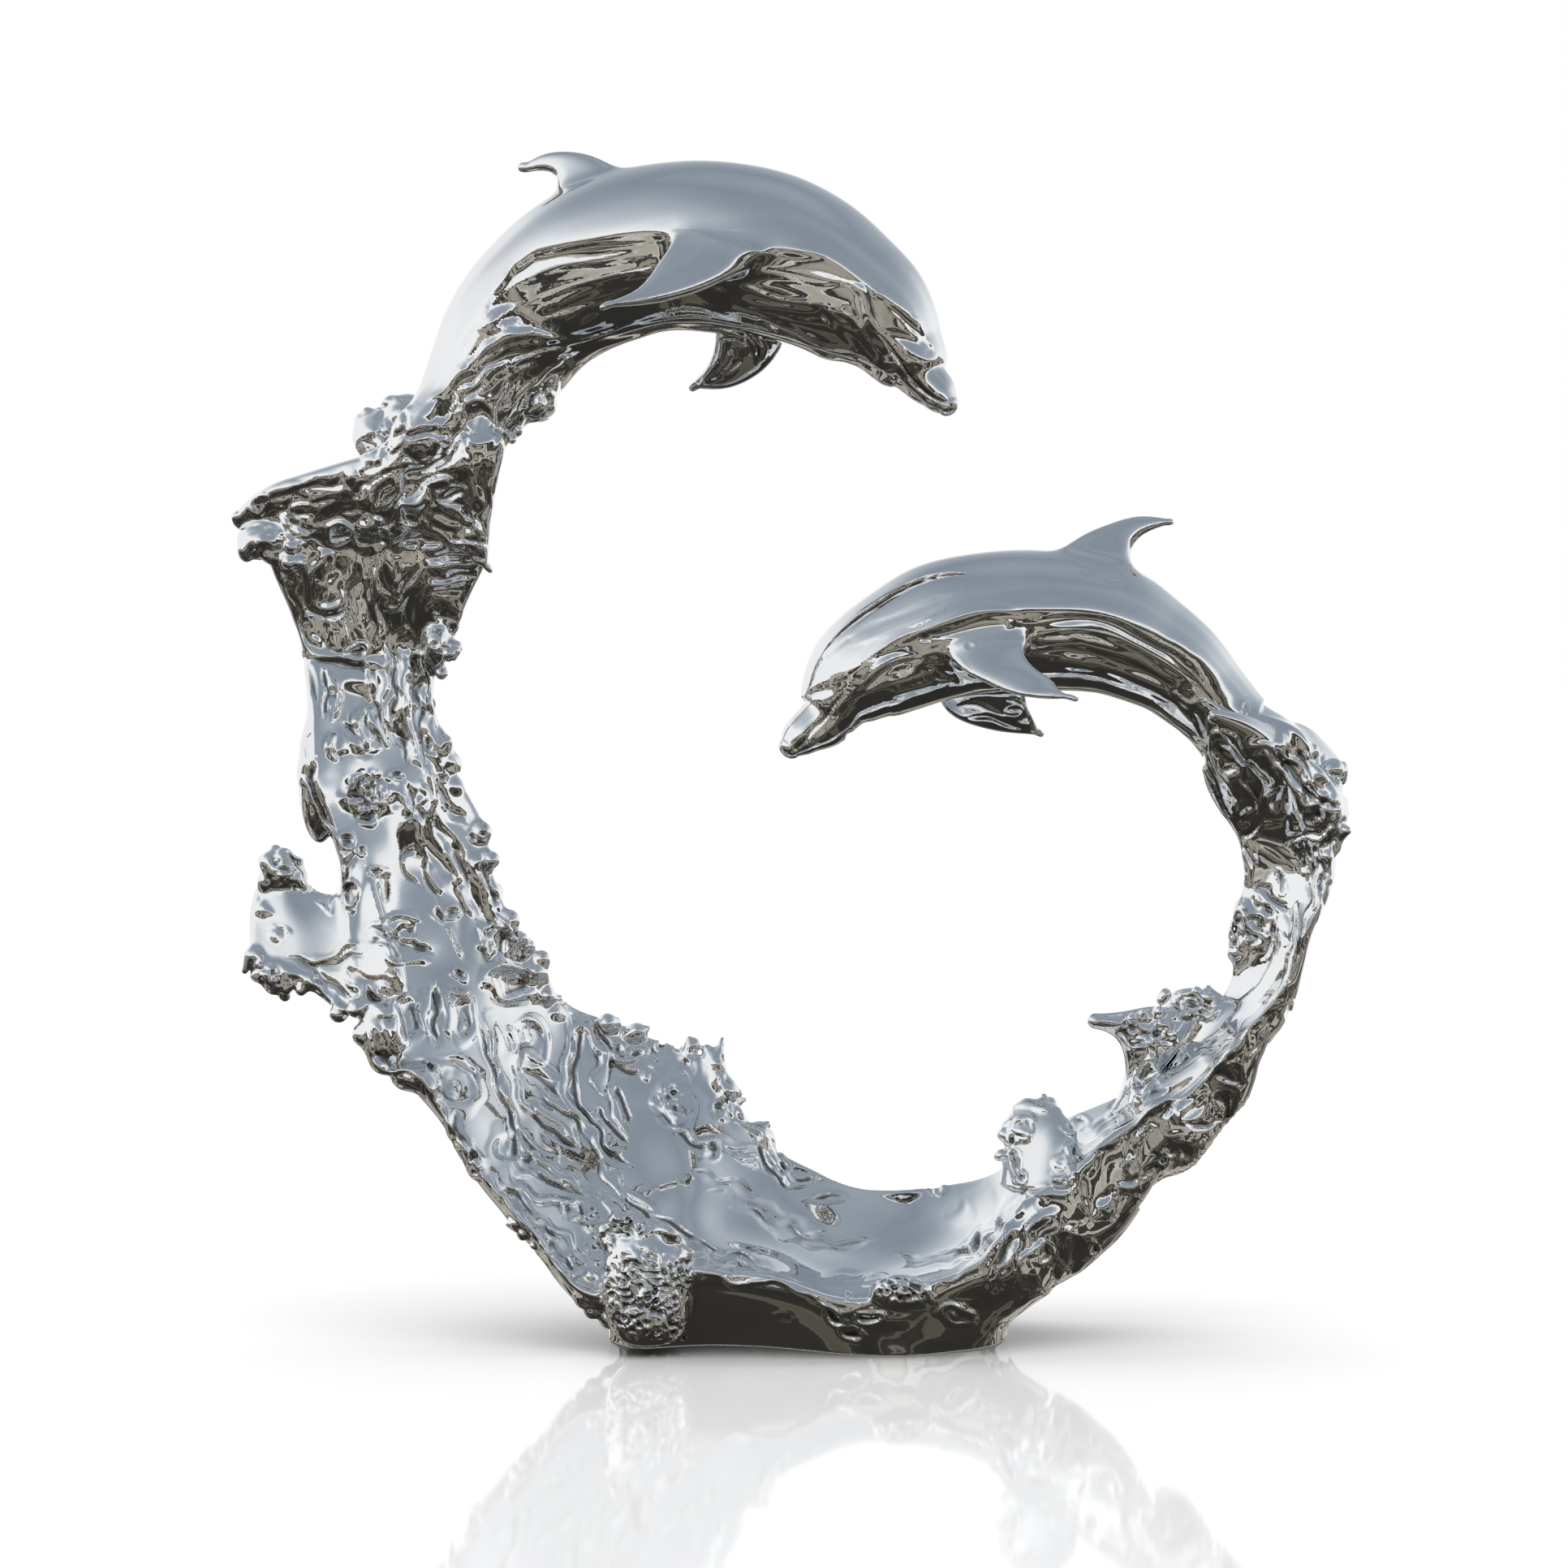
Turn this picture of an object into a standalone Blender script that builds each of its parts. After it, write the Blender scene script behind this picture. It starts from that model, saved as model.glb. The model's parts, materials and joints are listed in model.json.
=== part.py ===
"""Two dolphins leaping from the ends of a C-shaped wave, cast in polished stainless steel.

One casting: the upper dolphin, the lower dolphin and the wave are one solid.
The frame: metres, +Z up, origin on the floor under the middle, the ring of
the wave lies in the XZ plane and its show side faces -Y.

The shapes were set out on a front elevation in millimetres: u to the right of
the centre line and w above the floor, as seen by an eye EYE_DISTANCE in front
of the ring.  at(u, w, depth) turns such a point into the frame.
"""
import math

import bmesh
import bpy
import numpy as np
from mathutils import Vector, noise

# ---------------------------------------------------------------- sizes
NODE = "dolphin_wave_sculpture"
EYE_DISTANCE = 4.0      # m in front of the ring's plane
EYE_HEIGHT = 0.818      # m above the floor
SHIFT_X = 0.001           # m, brings the middle of the box onto the origin
SHIFT_Y = -0.002
FULLNESS = 2.3          # of the wave's round back: 2 is an ellipse
REMESH_VOXEL = 0.0045   # m, grid on which the overlapping lofts become one skin
TRIANGLES = 9600        # the faceted solid's budget
STEEL_COLOUR = (0.72, 0.74, 0.77, 1.0)

# Dolphin bodies, tail to beak: u, w, depth (mm), half height, half width (mm), degrees the back leans to the show side
UPPER_BODY = [
    (-520, 1002, -28, 12, 14, 30),
    (-487, 1040, -34, 36, 22, 36),
    (-448, 1084, -34, 61, 29, 38),
    (-404, 1135, -27, 71, 38, 34),
    (-354, 1212, -16, 88, 54, 26),
    (-320, 1259, -12, 92, 68, 20),
    (-278, 1296, -12, 97, 82, 12),
    (-227, 1323, -15, 101, 91, 6),
    (-177, 1337, -20, 102, 95, 3),
    (-127, 1342, -25, 103, 96, 2),
    (-74, 1338, -32, 104, 96, 2),
    (-22, 1328, -40, 101, 92, 2),
    (25, 1309, -48, 94, 86, 2),
    (67, 1283, -55, 85, 79, 2),
    (101, 1258, -62, 75, 71, 2),
    (124, 1233, -68, 62, 60, 2),
    (142, 1209, -73, 50, 47, 2),
    (155, 1192, -77, 39, 38, 2),
    (162, 1180, -80, 30, 30, 2),
    (176, 1166, -86, 24, 23, 2),
    (184, 1156, -90, 20, 19, 2),
    (191, 1148, -93, 14, 14, 2),
]
LOWER_BODY = [
    (604, 722, 4, 12, 14, 14),
    (586, 734, 2, 32, 26, 18),
    (554, 744, 0, 50, 36, 20),
    (530, 768, -2, 52, 42, 20),
    (500, 799, -4, 58, 48, 16),
    (470, 827, -7, 65, 56, 12),
    (434, 850, -10, 72, 63, 8),
    (397, 869, -14, 80, 70, 8),
    (356, 880, -18, 84, 75, 8),
    (313, 884, -22, 86, 79, 8),
    (263, 884, -26, 86, 80, 8),
    (215, 878, -30, 86, 78, 8),
    (175, 868, -34, 84, 75, 8),
    (139, 852, -38, 79, 70, 8),
    (106, 834, -42, 73, 65, 8),
    (79, 815, -46, 65, 58, 8),
    (62, 796, -49, 55, 50, 8),
    (51, 779, -52, 44, 41, 8),
    (42, 763, -54, 35, 33, 8),
    (32, 755, -56, 32, 29, 8),
    (18, 746, -60, 27, 24, 8),
    (5, 736, -63, 22, 20, 8),
    (-3, 728, -66, 15, 14, 8),
]

# Fins and flukes, root to tip: leading u, w, depth, trailing u, w, depth, half thickness (mm)
FINS = {
    "upper_dorsal": [(-186, 1412, -30, -290, 1375, -30, 17), (-230, 1445, -25, -288, 1404, -25, 13),
                     (-258, 1455, -20, -288, 1423, -20, 10), (-284, 1457, -15, -296, 1432, -15, 9),
                     (-306, 1453, -11, -310, 1434, -11, 8), (-324, 1444, -8, -324, 1432, -8, 6)],
    "upper_near_fin": [(-20, 1330, -95, -130, 1362, -90, 22), (-70, 1306, -124, -146, 1346, -120, 14),
                       (-125, 1283, -142, -166, 1318, -140, 11), (-175, 1272, -154, -190, 1290, -153, 9),
                       (-224, 1268, -164, -227, 1274, -164, 6)],
    "upper_far_fin": [(2, 1250, 10, -94, 1255, 15, 18), (-28, 1198, 38, -95, 1222, 40, 12),
                      (-58, 1176, 58, -102, 1200, 60, 10), (-92, 1167, 74, -114, 1184, 75, 9),
                      (-114, 1168, 82, -120, 1178, 82, 6)],
    "lower_dorsal": [(310, 950, -36, 425, 925, -32, 14), (352, 986, -28, 416, 954, -26, 11),
                     (389, 1002, -22, 418, 975, -21, 9), (427, 1012, -16, 436, 992, -16, 8),
                     (458, 1010, -12, 458, 1000, -12, 6)],
    "lower_near_fin": [(185, 850, -85, 290, 872, -80, 18), (210, 822, -112, 288, 844, -108, 12),
                       (240, 806, -128, 300, 826, -126, 10), (276, 793, -142, 322, 808, -140, 8),
                       (312, 788, -152, 328, 799, -151, 7), (340, 788, -158, 342, 793, -158, 5)],
    "lower_far_fin": [(175, 800, 10, 285, 810, 12, 14), (200, 765, 34, 290, 778, 36, 11),
                      (238, 751, 50, 296, 766, 51, 9), (266, 746, 60, 300, 757, 61, 8),
                      (298, 744, 68, 302, 752, 68, 5)],
    "upper_fluke_left": [(-490, 1096, -56, -480, 990, -22, 20), (-545, 1080, -50, -550, 992, -16, 14),
                         (-605, 1062, -40, -610, 994, -10, 11), (-655, 1040, -28, -650, 998, -4, 9),
                         (-680, 1018, -16, -672, 1000, -4, 7)],
    "upper_fluke_right": [(-384, 1116, -56, -480, 1000, -22, 22), (-354, 1098, -50, -440, 985, -24, 15),
                          (-360, 1060, -38, -425, 975, -22, 12), (-370, 1005, -24, -405, 965, -18, 10),
                          (-374, 955, -14, -380, 950, -14, 6)],
    "lower_fluke_near": [(596, 746, -48, 585, 690, -24, 16), (560, 766, -70, 547, 722, -50, 12),
                         (525, 774, -84, 521, 757, -78, 7)],
    "lower_fluke_far": [(572, 756, -6, 575, 684, -6, 18), (620, 758, 18, 617, 680, 14, 15),
                        (652, 740, 32, 657, 680, 28, 12), (676, 712, 40, 672, 680, 38, 8)],
}

# The wave's sheet, from under the lower dolphin round the base and up to the upper one:
# outer rim u, w, depth, inner rim u, w, depth, hollow (sag of the face), bulge behind, rim thickness
WAVE = [
    (640, 712, -34, 520, 740, -20, -4, 50, 16),
    (674, 672, -42, 508, 694, -4, -6, 66, 14),
    (665, 614, -30, 546, 618, 20, 4, 62, 10),
    (660, 554, -30, 556, 554, 22, 8, 56, 8),
    (632, 494, -38, 539, 494, 24, 10, 50, 8),
    (612, 439, -42, 539, 439, 28, 10, 50, 8),
    (582, 398, -48, 505, 392, 32, 10, 62, 8),
    (523, 336, -58, 455, 344, 40, 10, 78, 8),
    (462, 288, -68, 410, 300, 52, 12, 92, 8),
    (393, 247, -80, 347, 271, 66, 14, 106, 8),
    (341, 196, -94, 292, 234, 80, 16, 118, 8),
    (286, 160, -114, 250, 200, 94, 20, 124, 8),
    (238, 96, -134, 185, 184, 112, 28, 124, 8),
    (165, 60, -142, 115, 179, 122, 34, 130, 8),
    (65, 40, -144, 45, 198, 128, 38, 128, 8),
    (-25, 68, -142, -28, 236, 132, 38, 126, 8),
    (-85, 76, -139, -56, 266, 134, 36, 124, 8),
    (-140, 74, -134, -108, 338, 138, 34, 122, 8),
    (-238, 46, -112, -160, 364, 138, 32, 104, 8),
    (-314, 112, -92, -236, 394, 132, 28, 78, 8),
    (-385, 198, -72, -290, 426, 112, 24, 66, 8),
    (-426, 262, -58, -326, 483, 84, 20, 60, 8),
    (-500, 352, -46, -352, 531, 62, 16, 54, 8),
    (-545, 464, -22, -372, 587, 62, 12, 54, 8),
    (-556, 584, -12, -382, 639, 62, 8, 50, 8),
    (-588, 684, -14, -420, 709, 58, 4, 50, 10),
    (-594, 784, -2, -438, 784, 60, 0, 50, 10),
    (-605, 850, 14, -427, 846, 58, -4, 54, 10),
    (-632, 929, -6, -388, 929, 36, -6, 60, 14),
    (-636, 985, -22, -374, 996, 16, -4, 56, 14),
    (-594, 1026, -20, -404, 1036, 4, -4, 44, 14),
]

# The foot under the wave, in upright sections: u, then depths and heights (mm) of
# the front at the floor, the front at the rim, the back at the rim, the back at the floor
FOOT = [
    (-226, -24, -60, 46, 60, 60, 52),
    (-200, -54, -112, 66, 100, 120, 85),
    (-140, -48, -134, 90, 115, 160, 100),
    (-40, -46, -138, 86, 120, 130, 112),
    (25, -76, -140, 74, 120, 110, 115),
    (81, -106, -141, 62, 120, 100, 115),
    (140, -114, -140, 68, 118, 100, 110),
    (199, -84, -134, 90, 110, 110, 95),
    (234, -62, -118, 98, 98, 110, 78),
    (252, -40, -94, 88, 74, 92, 56),
    (266, -8, -52, 62, 44, 60, 34),
]

# Splash sheets that leave the wave, given like the fins
SPLASHES = {
    "left_splash": [(-480, 420, -30, -520, 560, 0, 16), (-548, 400, -26, -562, 548, 10, 12),
                    (-600, 430, -20, -600, 566, 18, 10), (-645, 450, -14, -636, 588, 24, 10),
                    (-662, 472, -10, -654, 560, 26, 8)],
    "right_splash": [(392, 276, 22, 490, 396, 14, 28), (408, 312, 12, 468, 406, 10, 21),
                     (410, 346, 0, 442, 408, 4, 15), (398, 370, -9, 412, 403, -6, 12),
                     (374, 380, -17, 378, 400, -15, 9)],
    "right_hump": [(560, 370, 18, 490, 345, 34, 20), (545, 412, 20, 455, 396, 36, 16), (512, 422, 22, 464, 416, 36, 10)],
    "block_splash": [(356, 170, -50, 256, 190, -26, 26), (352, 224, -48, 262, 240, -24, 20),
                     (348, 258, -44, 266, 266, -22, 15), (334, 276, -38, 272, 282, -18, 9)],
    "crest_spike": [(-130, 300, 132, -50, 240, 128, 14), (-118, 340, 134, -74, 312, 128, 12),
                    (-106, 350, 134, -82, 340, 130, 9), (-92, 360, 134, -84, 358, 132, 6)],
}

# Foam lumps: u, w, depth, three radii (mm), roughness (mm), and for a squarer one its power
LUMPS = {
    "front_foam": (-180, 64, -110, 53, 36, 75, 9, 2.8),
    "rim_foam": (132, 55, -142, 34, 16, 18, 5),
    "splash_top_foam": (-628, 576, 14, 24, 20, 24, 7),
    "splash_low_foam": (-634, 448, -8, 28, 18, 18, 7),
    "edge_foam_a": (-506, 376, -34, 28, 24, 40, 4),
    "edge_foam_b": (-462, 322, -40, 26, 22, 18, 5),
    "stock_foam": (-506, 1110, 0, 34, 36, 34, 6),
    "stock_foam_top": (-478, 1138, 0, 26, 32, 22, 4),
    "belly_foam": (-318, 1148, 0, 30, 34, 22, 6),
    "column_knob": (-440, 852, 44, 16, 18, 28, 4),
    "column_back": (-582, 694, 18, 27, 32, 84, 3),
    "tip_foam": (-650, 982, -10, 32, 24, 24, 3),
    "cup_foam": (654, 650, 10, 26, 36, 40, 6),
}


# ---------------------------------------------------------------- helpers
def at(u, w, depth):
    """Elevation millimetres and depth to the frame, in metres, in perspective about the eye."""
    k = 1.0 + depth / 1000.0 / EYE_DISTANCE
    return Vector((u / 1000.0 * k + SHIFT_X, depth / 1000.0 + SHIFT_Y, EYE_HEIGHT + (w / 1000.0 - EYE_HEIGHT) * k))


def smooth_rows(rows, per_span):
    """Catmull-Rom through the rows, per_span steps to each span."""
    rows = np.array(rows, float)
    ends = np.vstack([2 * rows[0] - rows[1], rows, 2 * rows[-1] - rows[-2]])
    found = []
    for i in range(1, len(ends) - 2):
        a, b, c, d = ends[i - 1:i + 3]
        for k in range(per_span):
            t = k / per_span
            found.append(0.5 * (2 * b + (c - a) * t + (2 * a - 5 * b + 4 * c - d) * t * t + (3 * b - a - 3 * c + d) * t ** 3))
    found.append(ends[-2])
    return np.array(found)


def skin(bm, rings, cap_start=True, cap_end=True):
    """Joins rings of points with faces and closes both ends."""
    made = [[bm.verts.new(p) for p in ring] for ring in rings]
    n = len(made[0])
    for first, second in zip(made, made[1:]):
        for i in range(n):
            bm.faces.new((first[i], first[(i + 1) % n], second[(i + 1) % n], second[i]))
    if cap_start:
        bm.faces.new(list(reversed(made[0])))
    if cap_end:
        bm.faces.new(made[-1])


def body_rings(rows, around=28):
    rows = smooth_rows(rows, 4)
    centres = [at(*row[:3]) for row in rows]
    rings = []
    for i, (centre, row) in enumerate(zip(centres, rows)):
        lean = math.radians(row[5])
        along = (centres[min(i + 1, len(rows) - 1)] - centres[max(i - 1, 0)]).normalized()
        side = Vector((0, -1, 0))
        side = (side - along * side.dot(along)).normalized()
        up = along.cross(side).normalized()
        if up.z < 0 and abs(up.z) > 0.05 or i and up.dot(last_up) < 0:
            up = -up
        last_up = up
        up, side = up * math.cos(lean) + side * math.sin(lean), side * math.cos(lean) - up * math.sin(lean)
        high, wide = row[3] / 1000, row[4] / 1000
        rings.append([centre + up * (math.sin(t) * high) + side * (math.cos(t) * wide)
                      for t in (2 * math.pi * k / around for k in range(around))])
    return rings


def blade_rings(rows, around=18):
    """A fin: an elliptic section between its leading and trailing edges."""
    rows = smooth_rows(rows, 5)
    lead = [at(*row[:3]) for row in rows]
    trail = [at(*row[3:6]) for row in rows]
    middle = [(a + b) / 2 for a, b in zip(lead, trail)]
    rings = []
    for i, row in enumerate(rows):
        along = (middle[min(i + 1, len(rows) - 1)] - middle[max(i - 1, 0)]).normalized()
        chord = (trail[i] - lead[i]) / 2
        normal = along.cross(chord).normalized() * (max(row[6], 2.5) / 1000)
        rings.append([middle[i] + chord * math.cos(t) + normal * math.sin(t)
                      for t in (2 * math.pi * k / around for k in range(around))])
    return rings


def wave_rings(rows, across=16):
    """The wave's sheet: a hollow face between two rims and a round bulge behind it."""
    rows = smooth_rows(rows, 5)
    outer = [at(*row[:3]) for row in rows]
    inner = [at(*row[3:6]) for row in rows]
    middle = [(a + b) / 2 for a, b in zip(outer, inner)]
    rings = []
    for i, row in enumerate(rows):
        along = (middle[min(i + 1, len(rows) - 1)] - middle[max(i - 1, 0)]).normalized()
        half = (inner[i] - outer[i]) / 2
        face = half.cross(along).normalized()
        sag, bulge, rim = row[6] / 1000, row[7] / 1000, row[8] / 1000
        front, back = [], []
        for k in range(across + 1):
            v = -1 + 2 * k / across
            front.append(middle[i] + half * v + face * (sag * (v * v - 1) + rim * 0.5))
            t = math.pi * (1 - k / across)
            c, s = math.cos(t), math.sin(t)
            v = math.copysign(abs(c) ** (2 / FULLNESS), c)
            back.append(middle[i] + half * v - face * (rim * 0.5 + bulge * abs(s) ** (2 / FULLNESS)))
        rings.append(front + list(reversed(back)))
    return rings


def foot_rings(rows):
    """Upright sections across the foot with their corners rounded off, reaching below the floor."""
    rings = []
    for u, front_low, front, front_w, back, back_w, back_low in smooth_rows(rows, 3):
        ring = [(front_low, -30), (front, front_w), (back, back_w), (back_low, -30)]
        for _ in range(3):
            ring = [(a[0] + (b[0] - a[0]) * k, a[1] + (b[1] - a[1]) * k)
                    for a, b in zip(ring, ring[1:] + ring[:1]) for k in (0.2, 0.8)]
        rings.append([Vector((u / 1000 + SHIFT_X, y / 1000 + SHIFT_Y, z / 1000)) for y, z in ring])
    return rings


def add_lump(bm, u, w, depth, ru, rd, rw, rough, power=2.0, seed=0.0):
    """A rough ellipsoid; a power above 2 squares it up."""
    ball = bmesh.new()
    bmesh.ops.create_icosphere(ball, subdivisions=3, radius=1.0)
    centre = at(u, w, depth)
    for vert in ball.verts:
        d = vert.co.normalized()
        bump = noise.noise(d * 2.3 + Vector((seed, 0, 0))) + 0.5 * noise.noise(d * 5.1 + Vector((0, seed, 0)))
        square = (abs(d.x) ** power + abs(d.y) ** power + abs(d.z) ** power) ** (-1 / power)
        k = square * (1.0 + bump * rough / max(ru, rw))
        vert.co = centre + Vector((d.x * ru, d.y * rd, d.z * rw)) * (k / 1000)
    made = {v: bm.verts.new(v.co) for v in ball.verts}
    for face in ball.faces:
        bm.faces.new([made[v] for v in face.verts])
    ball.free()


# ---------------------------------------------------------------- the model
def main():
    for obj in list(bpy.data.objects):
        bpy.data.objects.remove(obj, do_unlink=True)
    group = bpy.data.collections.new("dolphin_wave")
    bpy.context.scene.collection.children.link(group)

    bm = bmesh.new()
    skin(bm, body_rings(UPPER_BODY))
    skin(bm, body_rings(LOWER_BODY))
    for rows in list(FINS.values()) + list(SPLASHES.values()):
        skin(bm, blade_rings(rows))
    skin(bm, wave_rings(WAVE))
    skin(bm, foot_rings(FOOT))
    for seed, lump in enumerate(LUMPS.values()):
        add_lump(bm, *lump, seed=seed * 3.7)
    bmesh.ops.recalc_face_normals(bm, faces=bm.faces)
    mesh = bpy.data.meshes.new("lofts")
    bm.to_mesh(mesh)
    bm.free()
    lofts = bpy.data.objects.new("lofts", mesh)
    group.objects.link(lofts)

    remesh = lofts.modifiers.new("one_skin", "REMESH")
    remesh.mode = "VOXEL"
    remesh.voxel_size = REMESH_VOXEL
    remesh.adaptivity = 0.0
    bpy.context.view_layer.update()
    skinned = lofts.evaluated_get(bpy.context.evaluated_depsgraph_get()).data
    thin = lofts.modifiers.new("facets", "DECIMATE")
    thin.ratio = TRIANGLES / (2 * len(skinned.polygons))
    thin.use_collapse_triangulate = True
    bpy.context.view_layer.update()
    one = bpy.data.meshes.new_from_object(lofts.evaluated_get(bpy.context.evaluated_depsgraph_get()))
    bpy.data.objects.remove(lofts, do_unlink=True)

    # The foot is ground flat where it stands.
    bm = bmesh.new()
    bm.from_mesh(one)
    bmesh.ops.bisect_plane(bm, geom=bm.verts[:] + bm.edges[:] + bm.faces[:], plane_co=(0, 0, 0),
                           plane_no=(0, 0, -1), clear_outer=True)
    bmesh.ops.holes_fill(bm, edges=bm.edges[:], sides=0)
    bm.to_mesh(one)
    bm.free()
    part = bpy.data.objects.new(NODE, one)
    one.name = NODE
    group.objects.link(part)

    steel = bpy.data.materials.new("polished_steel")
    steel.use_nodes = True
    shader = steel.node_tree.nodes["Principled BSDF"]
    shader.inputs["Base Color"].default_value = STEEL_COLOUR
    shader.inputs["Metallic"].default_value = 1.0
    shader.inputs["Roughness"].default_value = 0.06
    one.materials.clear()
    one.materials.append(steel)
    for face in one.polygons:
        face.use_smooth = True


main()
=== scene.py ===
"""Two dolphins leaping from the ends of a C-shaped wave, in mirror-polished stainless steel.

The visual surface is one implicit field: swept bodies, fins, the hollow wave and its splashes are blended,
then flow lines, folds and foam are worked into it, and the zero surface is meshed with its own normals.
Measures are millimetres on a front elevation: u to the right, w above the floor, as in the frame's source.
"""
import math
from concurrent.futures import ThreadPoolExecutor

import bpy
import numpy as np
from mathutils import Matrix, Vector
from mathutils.geometry import tessellate_polygon
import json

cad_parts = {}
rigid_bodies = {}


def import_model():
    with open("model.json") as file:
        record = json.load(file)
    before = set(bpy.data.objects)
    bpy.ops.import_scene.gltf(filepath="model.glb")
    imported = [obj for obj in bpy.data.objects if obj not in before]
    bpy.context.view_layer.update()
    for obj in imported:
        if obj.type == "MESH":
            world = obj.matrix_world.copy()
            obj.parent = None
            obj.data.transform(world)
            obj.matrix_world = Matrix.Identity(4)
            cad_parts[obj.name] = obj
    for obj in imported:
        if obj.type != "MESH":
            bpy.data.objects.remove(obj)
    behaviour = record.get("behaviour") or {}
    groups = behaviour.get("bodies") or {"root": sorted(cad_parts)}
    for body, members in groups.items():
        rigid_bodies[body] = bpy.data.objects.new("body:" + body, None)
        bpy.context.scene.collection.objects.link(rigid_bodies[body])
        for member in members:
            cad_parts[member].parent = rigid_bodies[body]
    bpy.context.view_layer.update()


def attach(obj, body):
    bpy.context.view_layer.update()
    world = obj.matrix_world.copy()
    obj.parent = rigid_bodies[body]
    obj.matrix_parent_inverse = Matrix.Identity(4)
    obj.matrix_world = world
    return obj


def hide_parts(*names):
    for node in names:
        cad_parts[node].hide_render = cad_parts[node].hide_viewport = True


NODE = "dolphin_wave_sculpture"
EYE_DISTANCE, EYE_HEIGHT = 4.0, 0.818
SHIFT = np.array([0.001, -0.002, 0.0])
VOXEL = 0.0029
COARSE = 4            # fine cells to a coarse one
THREADS = 4

# Dolphin bodies, tail to beak: u, w, depth (mm), half height, half width (mm), degrees the back leans to the show side
UPPER_BODY = [
    (-520, 1002, -28, 12, 14, 30),
    (-487, 1040, -34, 36, 22, 36),
    (-448, 1084, -34, 61, 29, 38),
    (-404, 1135, -27, 71, 38, 34),
    (-354, 1212, -16, 88, 54, 26),
    (-320, 1259, -12, 92, 68, 20),
    (-278, 1296, -12, 97, 82, 12),
    (-227, 1323, -15, 101, 91, 6),
    (-177, 1337, -20, 102, 95, 3),
    (-127, 1342, -25, 103, 96, 2),
    (-74, 1338, -32, 104, 96, 2),
    (-22, 1328, -40, 101, 92, 2),
    (25, 1309, -48, 94, 86, 2),
    (67, 1283, -55, 85, 79, 2),
    (101, 1258, -62, 75, 71, 2),
    (124, 1233, -68, 62, 60, 2),
    (142, 1209, -73, 50, 47, 2),
    (155, 1192, -77, 39, 38, 2),
    (162, 1180, -80, 30, 30, 2),
    (176, 1166, -86, 24, 23, 2),
    (184, 1156, -90, 20, 19, 2),
    (191, 1148, -93, 14, 14, 2),
]
LOWER_BODY = [
    (604, 722, 4, 12, 14, 14),
    (586, 734, 2, 32, 26, 18),
    (554, 744, 0, 50, 36, 20),
    (530, 768, -2, 52, 42, 20),
    (500, 799, -4, 58, 48, 16),
    (470, 827, -7, 65, 56, 12),
    (434, 850, -10, 72, 63, 8),
    (397, 869, -14, 80, 70, 8),
    (356, 880, -18, 84, 75, 8),
    (313, 884, -22, 86, 79, 8),
    (263, 884, -26, 86, 80, 8),
    (215, 878, -30, 86, 78, 8),
    (175, 868, -34, 84, 75, 8),
    (139, 852, -38, 79, 70, 8),
    (106, 834, -42, 73, 65, 8),
    (79, 815, -46, 65, 58, 8),
    (62, 796, -49, 55, 50, 8),
    (51, 779, -52, 44, 41, 8),
    (42, 763, -54, 35, 33, 8),
    (32, 755, -56, 32, 29, 8),
    (18, 746, -60, 27, 24, 8),
    (5, 736, -63, 22, 20, 8),
    (-3, 728, -66, 15, 14, 8),
]

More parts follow.
